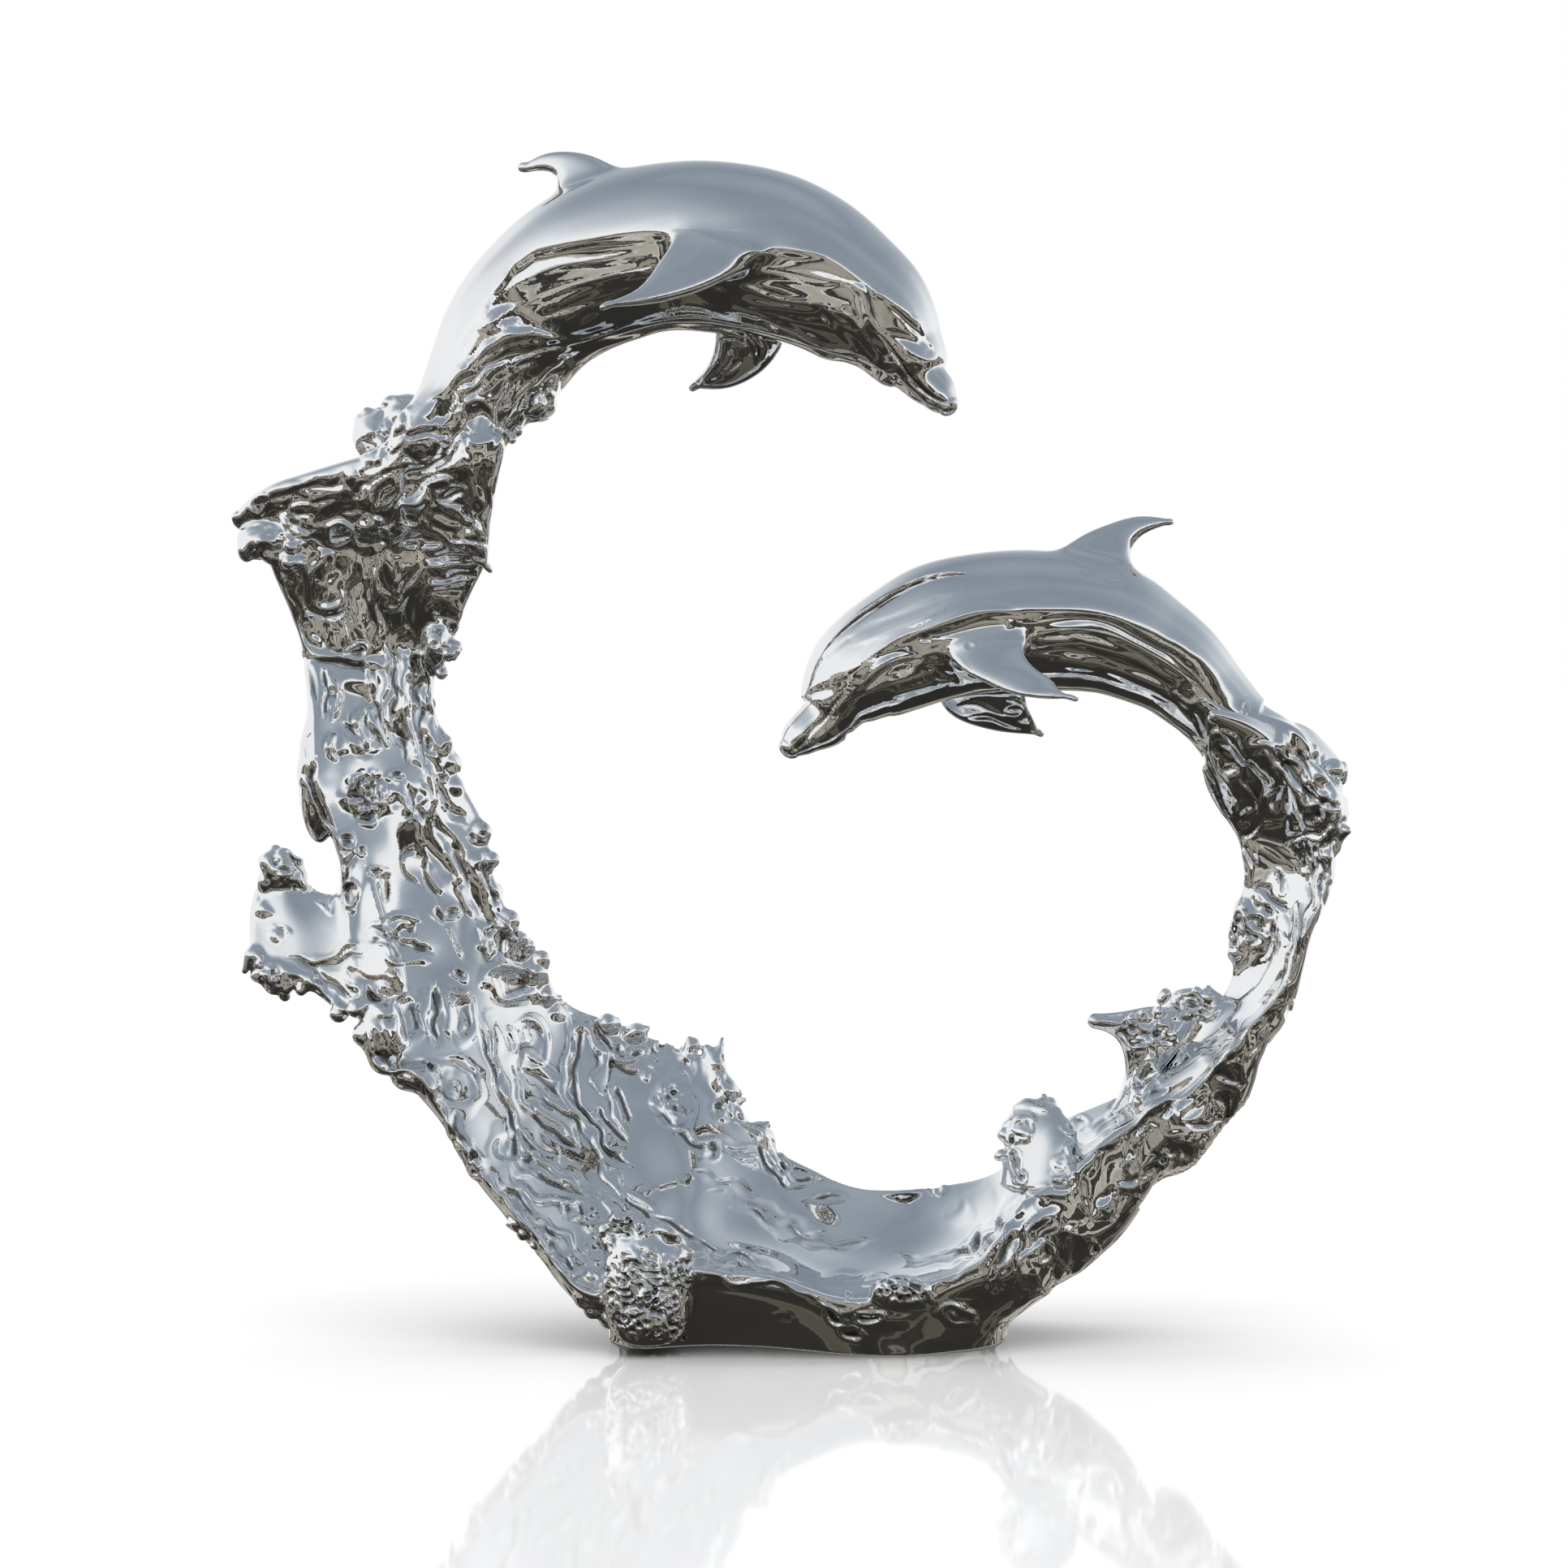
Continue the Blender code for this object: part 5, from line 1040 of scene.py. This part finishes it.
# Drops and spikes thrown from the rims (u, w, depth, radius[, u, w, depth, radius at the other end]).
SPRAY = [
    (-130, 345, 134, 9, -127, 368, 134, 3), (-96, 330, 134, 10, -90, 356, 134, 3), (-120, 322, 134, 10),
    (-272, 422, 112, 8, -276, 440, 112, 4), (309, 285, -22, 7, 311, 296, -22, 4), (-636, 592, 20, 6, -634, 598, 20, 5),
    (-34, 246, 130, 9), (-30, 262, 130, 4), (-412, 500, 60, 8), (-560, 400, -28, 12), (-648, 1010, 20, 8, -676, 990, 20, 4),
    (-668, 470, -8, 9, -676, 452, -8, 4), (-640, 432, -8, 10), (-622, 440, -8, 9), (-652, 462, -8, 11), (-644, 1006, 10, 9),
    (-334, 492, 80, 8, -326, 486, 82, 5), (-420, 842, 20, 10, -414, 846, 20, 6), (-380, 944, 10, 8, -374, 940, 10, 5),
    (435, 288, -16, 20, 512, 333, -20, 23), (456, 416, -14, 6, 462, 424, -14, 3), (520, 422, 0, 7, 528, 420, 0, 4), (676, 660, 16, 9), (672, 640, 16, 8), (680, 648, 14, 6),
]

# Crowns of froth: small drops scattered along a line (points u, w, depth), how many, radii from and to, spread, seed.
CROWNS = [
    ([(-300, 424, 100), (-250, 390, 120), (-200, 376, 132), (-150, 366, 136), (-110, 348, 136), (-84, 318, 134), (-70, 272, 132),
      (-40, 246, 130), (-22, 220, 128), (4, 196, 128)], 40, 6, 14, 7, 31),
    ([(-386, 616, 64), (-372, 560, 66), (-360, 520, 66), (-330, 488, 80), (-306, 440, 100)], 20, 8, 16, 8, 32),
    ([(-536, 404, -34), (-524, 366, -38), (-500, 334, -42), (-456, 318, -44), (-432, 286, -48)], 6, 12, 22, 8, 33),
    ([(-352, 150, -72), (-324, 118, -80), (-300, 92, -84)], 7, 5, 9, 4, 36),
    ([(-648, 560, 16), (-628, 590, 18), (-606, 572, 18), (-600, 556, 14)], 16, 6, 12, 7, 34),
    ([(-660, 540, 14), (-652, 500, 4), (-662, 470, -6), (-640, 440, -10), (-600, 430, -16), (-560, 406, -26)], 20, 6, 12, 6, 35),
    ([(-416, 850, 40), (-434, 820, 46), (-438, 780, 56), (-432, 730, 62), (-410, 680, 64)], 12, 7, 14, 5, 37),
    ([(258, 200, -36), (262, 250, -30), (290, 282, -20), (310, 286, -18), (336, 262, -26), (350, 220, -34)], 14, 5, 10, 4, 38),
    ([(400, 390, -26), (430, 396, -20), (460, 412, -12), (490, 420, -4), (520, 412, 0)], 10, 5, 10, 5, 39),
    ([(628, 734, -14), (656, 700, -10), (668, 664, -16), (672, 630, -18), (656, 600, -22)], 20, 7, 14, 6, 40),
    ([(545, 520, 22), (542, 496, 26), (548, 470, 26), (560, 540, 22)], 10, 6, 11, 5, 41),
    ([(-530, 1120, -10), (-512, 1140, -10), (-488, 1146, -14), (-470, 1130, -20)], 8, 7, 12, 6, 42),
    ([(-344, 1160, -20), (-318, 1156, -14), (-300, 1168, -16), (-330, 1130, -20), (-350, 1120, -24)], 16, 6, 12, 6, 43),
    ([(-680, 976, -20), (-650, 962, -22), (-620, 962, -26), (-640, 1000, -20)], 10, 6, 11, 5, 44),
    ([(-250, 84, -84), (-262, 60, -80), (-236, 30, -76), (-210, 14, -70)], 14, 8, 15, 6, 45),
    ([(-130, 100, -130), (-150, 120, -128), (-200, 136, -120), (-240, 130, -110)], 18, 6, 12, 7, 46),
]


def crown_drops(points, count, small, large, spread, seed):
    rng = np.random.default_rng(seed)
    points = np.array(points, float)
    line = spline(points, chord_knots(points), 200)
    for _ in range(count):
        here = line[rng.integers(0, 200)] + rng.normal(size=3) * (spread * 0.6, spread * 1.2, spread * 0.6)
        r = small + (large - small) * rng.random() ** 2
        if rng.random() < 0.3:
            way = unit(rng.normal(size=3)) * r * 1.4
            yield Drop(*here, r * 0.8, *(here + way), r * 0.35)
        else:
            yield Drop(*here, r)


SHEET = Sheet()


def relief(p):
    """Height of the worked surface over the smooth form, in metres."""
    u, w = elevation(p)
    layers = SHEET.look(u, w)
    total = layers[:, 0].astype(float)
    total += (0.25 + layers[:, 3]) * ripples(p, 0.11, 5, 7)
    churn = np.flatnonzero(layers[:, 1] > 0.05)
    if len(churn):
        q = p[churn]
        bent = q + 0.006 * np.stack([ripples(q, 0.05, 20 + i, 4) for i in range(3)], 1)
        total[churn] += layers[churn, 1] * (1.5 * domes(bent, 0.030, 11) + 0.5 * domes(bent, 0.014, 12))
    drops = np.flatnonzero(layers[:, 2] > 0.05)
    if len(drops):
        q = p[drops]
        grain = ripples(q, 0.0125, 13, 9)
        total[drops] += layers[drops, 2] * (0.9 - np.abs(grain))
    # the upper near fin stands clear of the worked belly behind it
    over = (u > -262) & (u < -24) & (w > 1236) & (w < 1362)
    clear = np.where(over, np.clip((-1000 * (p[:, 1] - SHIFT[1]) - 114) / 14, 0, 1) * np.clip((-24 - u) / 56, 0, 1), 0.0)
    total *= 1 - clear * clear * (3 - 2 * clear)
    return 0.0085 * np.tanh(total / 8.5)
# ---------------------------------------------------------------- the field
PARTS = (
    [Body(UPPER_BODY, 0.03), Body(LOWER_BODY, 0.03), Wave(WAVE, 0.03), Foot(FOOT, 0.03)]
    + [Blade(rows, 0.022, 2.8) for rows in FINS.values()]
    + [Blade(rows, 0.018) for rows in SPLASHES.values()]
    + [Lump(*lump) for lump in LUMPS.values()]
    + [Drop(*drop) for drop in SPRAY]
    + [drop for crown in CROWNS for drop in crown_drops(*crown)]
)


def base_field(p):
    total = np.full(len(p), 0.12)
    for part in PARTS:
        near = np.flatnonzero(np.all((p > part.low) & (p < part.high), axis=1))
        if len(near):
            total[near] = smin(total[near], part.distance(p[near]), part.blend)
    return total


def field(p):
    total = smax(base_field(p) - relief(p), p[:, 1] - 0.170, 0.004)
    return smax(total, -p[:, 2], 0.002)


def in_threads(fn, points, size=40000):
    chunks = [points[i:i + size] for i in range(0, len(points), size)]
    with ThreadPoolExecutor(THREADS) as pool:
        return np.concatenate(list(pool.map(fn, chunks)))


def surface(low, high):
    """The zero surface of the field as vertices and quads, on a grid refined near the surface."""
    import openvdb
    step = VOXEL * COARSE
    n = np.ceil((high - low) / step).astype(int) + 1
    axes = [low[i] + step * (np.arange(n[i]) + 0.5 * (1 - 1 / COARSE)) for i in range(3)]
    grid = np.stack(np.meshgrid(*axes, indexing="ij"), -1).reshape(-1, 3)
    coarse = in_threads(base_field, grid).reshape(n)
    active = np.argwhere(np.abs(coarse) < 1.4 * step + 0.010)
    dense = np.repeat(np.repeat(np.repeat(np.sign(coarse).astype(np.float32) * 0.02, COARSE, 0), COARSE, 1), COARSE, 2)
    offset = np.stack(np.meshgrid(*[np.arange(COARSE)] * 3, indexing="ij"), -1).reshape(-1, 3)
    index = (active[:, None] * COARSE + offset[None]).reshape(-1, 3)
    values = in_threads(field, low + index * VOXEL)
    dense[index[:, 0], index[:, 1], index[:, 2]] = values
    print("fine samples", len(index))
    g = openvdb.FloatGrid()
    g.background = 0.02
    g.copyFromArray(dense)
    points, tris, quads = g.convertToPolygons(0.0, 0.0)
    quads = np.asarray(quads, np.int64)
    label = np.arange(len(points))                       # keeps the largest connected skin
    while True:
        least = label[quads].min(1)
        before = label.copy()
        np.minimum.at(label, quads.ravel(), np.repeat(least, 4))
        label = label[label]
        if np.array_equal(before, label):
            break
    names, counts = np.unique(label[quads[:, 0]], return_counts=True)
    quads = quads[label[quads[:, 0]] == names[np.argmax(counts)]]
    used, quads = np.unique(quads, return_inverse=True)
    return low + points[used].astype(float) * VOXEL, tris, quads.reshape(-1, 4)


def settle(v, rounds=2, eps=0.0004):
    """Moves vertices onto the surface and gives the field's normals there."""
    def gradient(p):
        f = field(p)
        g = np.stack([(field(p + eps * e) - f) / eps for e in np.eye(3)], 1)
        return np.hstack([f[:, None], g])
    for i in range(rounds):
        if i == 0:
            fg = in_threads(gradient, v)
            f, g = fg[:, :1], fg[:, 1:]
        else:
            f = in_threads(field, v)[:, None]
        move = -f * g / np.maximum(dot(g, g), 0.05)[:, None]
        length = np.linalg.norm(move, axis=1, keepdims=True)
        v = v + move * np.minimum(1, 0.6 * VOXEL / np.maximum(length, 1e-9))
    v[:, 2] = np.maximum(v[:, 2], 0)

    def normal(p):
        e = 0.0012
        return np.stack([field(p + e * a) - field(p - e * a) for a in np.eye(3)], 1)
    return v, unit(in_threads(normal, v))


def painted_recess_shade(v, quads, rounds=14):
    """How far each vertex lies below the relief around it, from 0 to 1: the weight of the shade painted into the
    steel's colour in recesses.
    """
    height = in_threads(relief, v)
    here, there = quads.ravel(), np.roll(quads, 1, axis=1).ravel()
    uses = np.maximum(np.bincount(here, minlength=len(v)), 1)
    even = height
    for _ in range(rounds):
        even = 0.5 * even + 0.5 * np.bincount(here, even[there], len(v)) / uses
    u, w = elevation(v)
    # the painted recess shade is weaker high on the tall limb, under the flukes
    cup = np.clip((w - 820) / 50, 0, 1) * (u < -350)
    return np.clip((even - height - 0.0002) / 0.0011, 0, 1) * (1 - 0.6 * cup)
# ---------------------------------------------------------------- pieces
def piece_of(centre):
    """Which piece a face belongs to: the dolphins, and the wave cut across its limbs."""
    u, w = elevation(centre)
    k = np.full(len(u), 3)                                                        # the bowl over the foot
    k[(u < -170) & ((u + 385) * -0.929 + (w - 198) * 0.371 > 0)] = 2               # the tall limb
    k[(u < -200) & (w > 640)] = 5                                                 # its top, under the flukes
    k[(k == 3) & (u > 40)] = 6                                                    # the trough beside it
    k[(u > 238)] = 4                                                              # the short limb
    k[((u + 385) * 0.58 + (w - 1160) * 0.81 > 0) & (w > 1030)] = 0                # the upper dolphin
    k[((u - 508) * -0.72 + (w - 795) * 0.69 > 0) & (w > 690) & (w < 1060) & (u < 560) & (u > -60)] = 1   # the lower dolphin
    return k


PIECES = ["upper_dolphin", "lower_dolphin", "wave_tall_limb", "wave_bowl", "wave_short_limb", "wave_crest", "wave_trough"]


def closed(quads, count):
    """The loops along a piece's open edge, in order."""
    edges = np.concatenate([quads[:, [i, (i + 1) % 4]] for i in range(4)])
    key = np.sort(edges, axis=1) @ np.array([count, 1])
    _, inverse, uses = np.unique(key, return_inverse=True, return_counts=True)
    edges = edges[uses[inverse] == 1]
    follow = {}
    for a, b in edges:
        follow.setdefault(int(b), []).append(int(a))
    loops = []
    while follow:
        start = next(iter(follow))
        loop, here = [], start
        while here in follow:
            loop.append(here)
            onward = follow[here].pop()
            if not follow[here]:
                del follow[here]
            here = onward
        loops.append(loop)
    return loops


def make_pieces(v, quads, normals, recess_shade, material):
    kinds = piece_of(v[quads].mean(1))
    made = []
    for k, name in enumerate(PIECES):
        faces = quads[kinds == k]
        if not len(faces):
            continue
        loops = closed(faces, len(v))
        used, faces = np.unique(faces, return_inverse=True)
        faces = faces.reshape(-1, 4)
        points, norms = v[used], normals[used]
        place = {int(a): i for i, a in enumerate(used)}
        # depth here is each vertex's weight of painted shade in recesses, copied to the cap rings too
        tris, walls, depth = [], [], recess_shade[used]
        for loop in loops:
            ring = np.array([place[a] for a in loop])
            sunk = len(points) + np.arange(len(ring))            # the cap lies a little under the skin
            points = np.vstack([points, points[ring] - 0.0016 * norms[ring]])
            norms = np.vstack([norms, norms[ring]])
            depth = np.append(depth, depth[ring])
            after = np.roll(ring, -1), np.roll(sunk, -1)
            walls.append(np.stack([ring, after[0], after[1], sunk], 1))
            spread = points[sunk] - points[sunk].mean(0)
            flat = np.linalg.svd(spread, full_matrices=False)[2][:2]
            flat = [Vector((*xy, 0)) for xy in spread @ flat.T]
            area = sum(p.x * q.y - q.x * p.y for p, q in zip(flat, flat[1:] + flat[:1]))
            for a, b, c in tessellate_polygon([flat]):
                turned = (flat[b] - flat[a]).cross(flat[c] - flat[a]).z
                tris.append((sunk[a], sunk[b], sunk[c]) if turned * area > 0 else (sunk[a], sunk[c], sunk[b]))
        if walls:
            faces = np.vstack([faces] + walls)
        mesh = bpy.data.meshes.new(name)
        mesh.vertices.add(len(points))
        mesh.vertices.foreach_set("co", points.astype(np.float32).ravel())
        corners = np.concatenate([faces.ravel(), np.array(tris, int).ravel()])
        mesh.loops.add(len(corners))
        mesh.loops.foreach_set("vertex_index", corners.astype(np.int32))
        sizes = np.array([4] * len(faces) + [3] * len(tris))
        mesh.polygons.add(len(sizes))
        mesh.polygons.foreach_set("loop_start", np.concatenate([[0], np.cumsum(sizes)[:-1]]).astype(np.int32))
        mesh.update(calc_edges=True)
        mesh.validate()
        mesh.polygons.foreach_set("use_smooth", np.ones(len(mesh.polygons), bool))
        mesh.normals_split_custom_set_from_vertices(norms.astype(np.float32))
        # the point attribute holds the weight of the shade painted into recesses
        mesh.attributes.new("recess_shade", "FLOAT", "POINT").data.foreach_set("value", depth.astype(np.float32))
        mesh.materials.append(material)
        obj = bpy.data.objects.new(name, mesh)
        bpy.context.scene.collection.objects.link(obj)
        made.append(obj)
        print(name, len(faces) * 2 + len(tris), "triangles,", len(loops), "caps")
    return made


# ---------------------------------------------------------------- nodes
class Nodes:
    def __init__(self, tree):
        self.tree = tree
        tree.nodes.clear()

    def add(self, kind, inputs=None, **settings):
        node = self.tree.nodes.new(kind)
        for key, value in settings.items():
            setattr(node, key, value)
        for key, value in (inputs or {}).items():
            if isinstance(value, bpy.types.NodeSocket):
                self.tree.links.new(value, node.inputs[key])
            else:
                node.inputs[key].default_value = value
        return node

    def math(self, operation, a, b=0.0, clamp=False):
        return self.add("ShaderNodeMath", {0: a, 1: b}, operation=operation, use_clamp=clamp).outputs[0]

    def mix(self, factor, a, b):
        node = self.add("ShaderNodeMix", data_type="RGBA")
        for key, value in (("Factor", factor), ("A", a), ("B", b)):
            socket = [s for s in node.inputs if s.name == key and (key == "Factor" and s.type == "VALUE" or s.type == "RGBA")][0]
            if isinstance(value, bpy.types.NodeSocket):
                self.tree.links.new(value, socket)
            else:
                socket.default_value = value
        return [s for s in node.outputs if s.type == "RGBA"][0]

    def ramp(self, factor, stops, interpolation="LINEAR"):
        node = self.add("ShaderNodeValToRGB", {0: factor})
        ramp = node.color_ramp
        ramp.interpolation = interpolation
        while len(ramp.elements) < len(stops):
            ramp.elements.new(0.5)
        for element, (place, colour) in zip(ramp.elements, stops):
            element.position = place
            element.color = colour if len(colour) == 4 else (*colour, 1)
        return node.outputs[0]


def grey(value, warm=0.0):
    return (value * (1 + warm), value, value * (1 - 2 * warm), 1)


def steel():
    material = bpy.data.materials.new("polished_steel")
    material.use_nodes = True
    n = Nodes(material.node_tree)
    place = n.add("ShaderNodeTexCoord").outputs["Object"]
    cloud = n.add("ShaderNodeTexNoise", {"Vector": place, "Scale": 9.0, "Detail": 3.0}).outputs[0]
    fine = n.add("ShaderNodeTexNoise", {"Vector": place, "Scale": 140.0, "Detail": 2.0}).outputs[0]
    bright = n.ramp(cloud, [(0.3, (0.80, 0.81, 0.82)), (0.7, (0.87, 0.875, 0.88))])
    # painted shade: the base colour is mixed towards near black (0.11) where the surface lies in a recess of the relief
    recess_shade = n.add("ShaderNodeAttribute", attribute_type="GEOMETRY", attribute_name="recess_shade").outputs["Fac"]
    recess_shade = n.add("ShaderNodeMapRange", {"Value": recess_shade, "From Min": 0.15, "From Max": 0.85, "To Max": 0.84}, interpolation_type="SMOOTHSTEP").outputs[0]
    colour = n.mix(recess_shade, bright, (0.11, 0.104, 0.092, 1))
    rough = n.add("ShaderNodeMapRange", {"Value": cloud, "From Min": 0.3, "From Max": 0.7, "To Min": 0.01, "To Max": 0.035}).outputs[0]
    bump = n.add("ShaderNodeBump", {"Height": fine, "Strength": 0.04, "Distance": 0.001}).outputs[0]
    shader = n.add("ShaderNodeBsdfPrincipled", {"Base Color": colour, "Roughness": rough, "Normal": bump, "Metallic": 1.0})
    n.add("ShaderNodeOutputMaterial", {"Surface": shader.outputs[0]})
    return material


def studio():
    """White to the camera and to the floor; what the steel mirrors is a hazy sky over dark, patchy ground."""
    world = bpy.data.worlds.new("studio")
    bpy.context.scene.world = world
    world.use_nodes = True
    n = Nodes(world.node_tree)
    way = n.add("ShaderNodeTexCoord").outputs["Generated"]
    parts = n.add("ShaderNodeSeparateXYZ", {0: way})
    east, north, height = parts.outputs
    haze = n.add("ShaderNodeTexNoise", {"Vector": way, "Scale": 1.1, "Detail": 0.4, "Distortion": 0.2}).outputs[0]
    # the sky is white low down and at the left, greyer high up and in a column over the viewer
    left = n.math("MAXIMUM", n.math("MULTIPLY", east, -0.50), n.math("MULTIPLY", east, 0.12))
    over = n.math("SUBTRACT", n.math("MULTIPLY", east, 0.42), n.math("MULTIPLY", north, 0.91))
    facing = n.add("ShaderNodeMapRange", {"Value": over, "From Min": 0.66, "From Max": 0.92, "To Min": 0.0, "To Max": 0.38}).outputs[0]
    raised = n.add("ShaderNodeMapRange", {"Value": height, "From Min": 0.05, "From Max": 0.17}).outputs[0]
    lifted = n.math("ADD", n.math("SUBTRACT", height, left), n.math("MULTIPLY", facing, raised))
    lifted = n.math("SUBTRACT", lifted, n.math("MAXIMUM", n.math("MULTIPLY", north, 0.25), 0.0))
    lifted = n.math("ADD", lifted, n.math("MULTIPLY", n.math("SUBTRACT", haze, 0.5), 0.6))
    sky = n.ramp(lifted, [(0.0, (0.98, 0.985, 0.99)), (0.16, (0.86, 0.885, 0.905)), (0.30, (0.62, 0.66, 0.70)), (0.44, (0.45, 0.497, 0.55)),
                          (0.62, (0.335, 0.38, 0.437)), (0.80, (0.27, 0.315, 0.37)), (1.0, (0.33, 0.38, 0.43))])
    # the ground: pale slabs near the horizon, dark below, all drawn out sideways and rimmed with thin light lines
    drawn = n.add("ShaderNodeVectorMath", {0: way, 1: (1.0, 1.0, 2.4)}, operation="MULTIPLY").outputs[0]
    patches = n.add("ShaderNodeTexNoise", {"Vector": drawn, "Scale": 1.35, "Detail": 1.6, "Roughness": 0.4, "Distortion": 0.8}).outputs[0]
    patches = n.math("ADD", patches, n.math("MULTIPLY", height, 0.17))
    deep = n.add("ShaderNodeMapRange", {"Value": height, "From Min": -0.45, "From Max": -0.85, "To Min": 0.0, "To Max": 0.19}).outputs[0]
    patches = n.math("SUBTRACT", patches, deep)
    ground = n.ramp(patches, [(0.0, grey(0.026, 0.05)), (0.20, grey(0.034, 0.06)), (0.205, grey(0.10, 0.10)), (0.24, grey(0.075, 0.10)),
                              (0.245, grey(0.03, 0.06)), (0.31, grey(0.045, 0.06)), (0.318, grey(0.17, 0.09)), (0.345, grey(0.12, 0.09)),
                              (0.352, grey(0.035, 0.06)), (0.39, grey(0.05, 0.06)), (0.397, grey(0.66, 0.03)), (0.407, grey(0.34, 0.07)),
                              (0.455, grey(0.46, 0.07)), (0.463, grey(0.74, 0.02)), (0.472, grey(0.05, 0.06)), (0.50, grey(0.04, 0.06)),
                              (0.507, grey(0.24, 0.08)), (0.55, grey(0.40, 0.07)), (0.558, grey(0.70, 0.03)), (0.567, grey(0.06, 0.06)),
                              (0.60, grey(0.05, 0.06)), (0.607, grey(0.36, 0.08)), (1.0, grey(0.42, 0.07))])
    edge = n.add("ShaderNodeTexNoise", {"Vector": way, "Scale": 3.0, "Detail": 1.0}).outputs[0]
    level = n.math("ADD", height, n.math("MULTIPLY", n.math("SUBTRACT", edge, 0.45), 0.10))
    level = n.math("ADD", level, n.math("MULTIPLY", n.math("MAXIMUM", north, 0.0), 0.25))
    above = n.add("ShaderNodeMapRange", {"Value": level, "From Min": -0.010, "From Max": 0.010}).outputs[0]
    mirrored = n.mix(above, ground, sky)
    light = n.add("ShaderNodeLightPath")
    colour = n.mix(light.outputs["Is Glossy Ray"], (1, 1, 1, 1), mirrored)
    # the floor is lit mostly from overhead, and what the steel throws back onto it counts little
    glossy = light.outputs["Is Glossy Ray"]
    overhead = n.math("ADD", 0.03, n.math("MULTIPLY", n.math("POWER", n.math("MAXIMUM", height, 0.0), 5.0), 4.2))
    thrown = n.math("MULTIPLY", n.math("MINIMUM", light.outputs["Diffuse Depth"], 1.0), 0.9)
    seen = n.math("ADD", light.outputs["Is Camera Ray"], glossy)
    strength = n.math("ADD", n.math("MULTIPLY", overhead, n.math("SUBTRACT", 1.0, seen)),
                      n.math("MULTIPLY", seen, n.math("SUBTRACT", 1.0, n.math("MULTIPLY", thrown, glossy))))
    background = n.add("ShaderNodeBackground", {"Color": colour, "Strength": strength})
    n.add("ShaderNodeOutputWorld", {"Surface": background.outputs[0]})


def floor():
    """Pale and matt, with a faint even gloss that gives the sculpture back under it."""
    bpy.ops.mesh.primitive_plane_add(size=200, location=(0, 60, -0.0005))
    plane = bpy.context.object
    plane.name = "floor"
    material = bpy.data.materials.new("pale_floor")
    material.use_nodes = True
    n = Nodes(material.node_tree)
    matt = n.add("ShaderNodeBsdfDiffuse", {"Color": (0.93, 0.93, 0.93, 1)}).outputs[0]
    gloss = n.add("ShaderNodeBsdfGlossy", {"Color": (1, 1, 1, 1), "Roughness": 0.06}).outputs[0]
    both = n.add("ShaderNodeMixShader", {0: 0.31, 1: matt, 2: gloss}).outputs[0]
    n.add("ShaderNodeOutputMaterial", {"Surface": both})
    plane.data.materials.append(material)
    plane.visible_glossy = False
    return plane


def camera():
    tilt = math.radians(2.0)
    data = bpy.data.cameras.new("camera")
    data.lens, data.sensor_width = 74.5, 36
    obj = bpy.data.objects.new("camera", data)
    bpy.context.scene.collection.objects.link(obj)
    obj.location = (-0.009, -4.0 * math.cos(tilt), 0.6828 + 4.0 * math.sin(tilt))
    obj.rotation_euler = (math.pi / 2 - tilt, 0, 0)
    bpy.context.scene.camera = obj


# ---------------------------------------------------------------- the scene
def main():
    for obj in list(bpy.data.objects):
        bpy.data.objects.remove(obj, do_unlink=True)
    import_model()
    v, tris, quads = surface(np.array([-0.72, -0.20, -0.02]), np.array([0.72, 0.20, 1.49]))
    v, normals = settle(v)
    for piece in make_pieces(v, quads, normals, painted_recess_shade(v, quads), steel()):
        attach(piece, "root")
        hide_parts(NODE)
    floor()
    studio()
    camera()
    view = bpy.context.scene.view_settings
    view.view_transform, view.look, view.exposure, view.gamma = "Standard", "None", 0.0, 1.0
    import json


main()
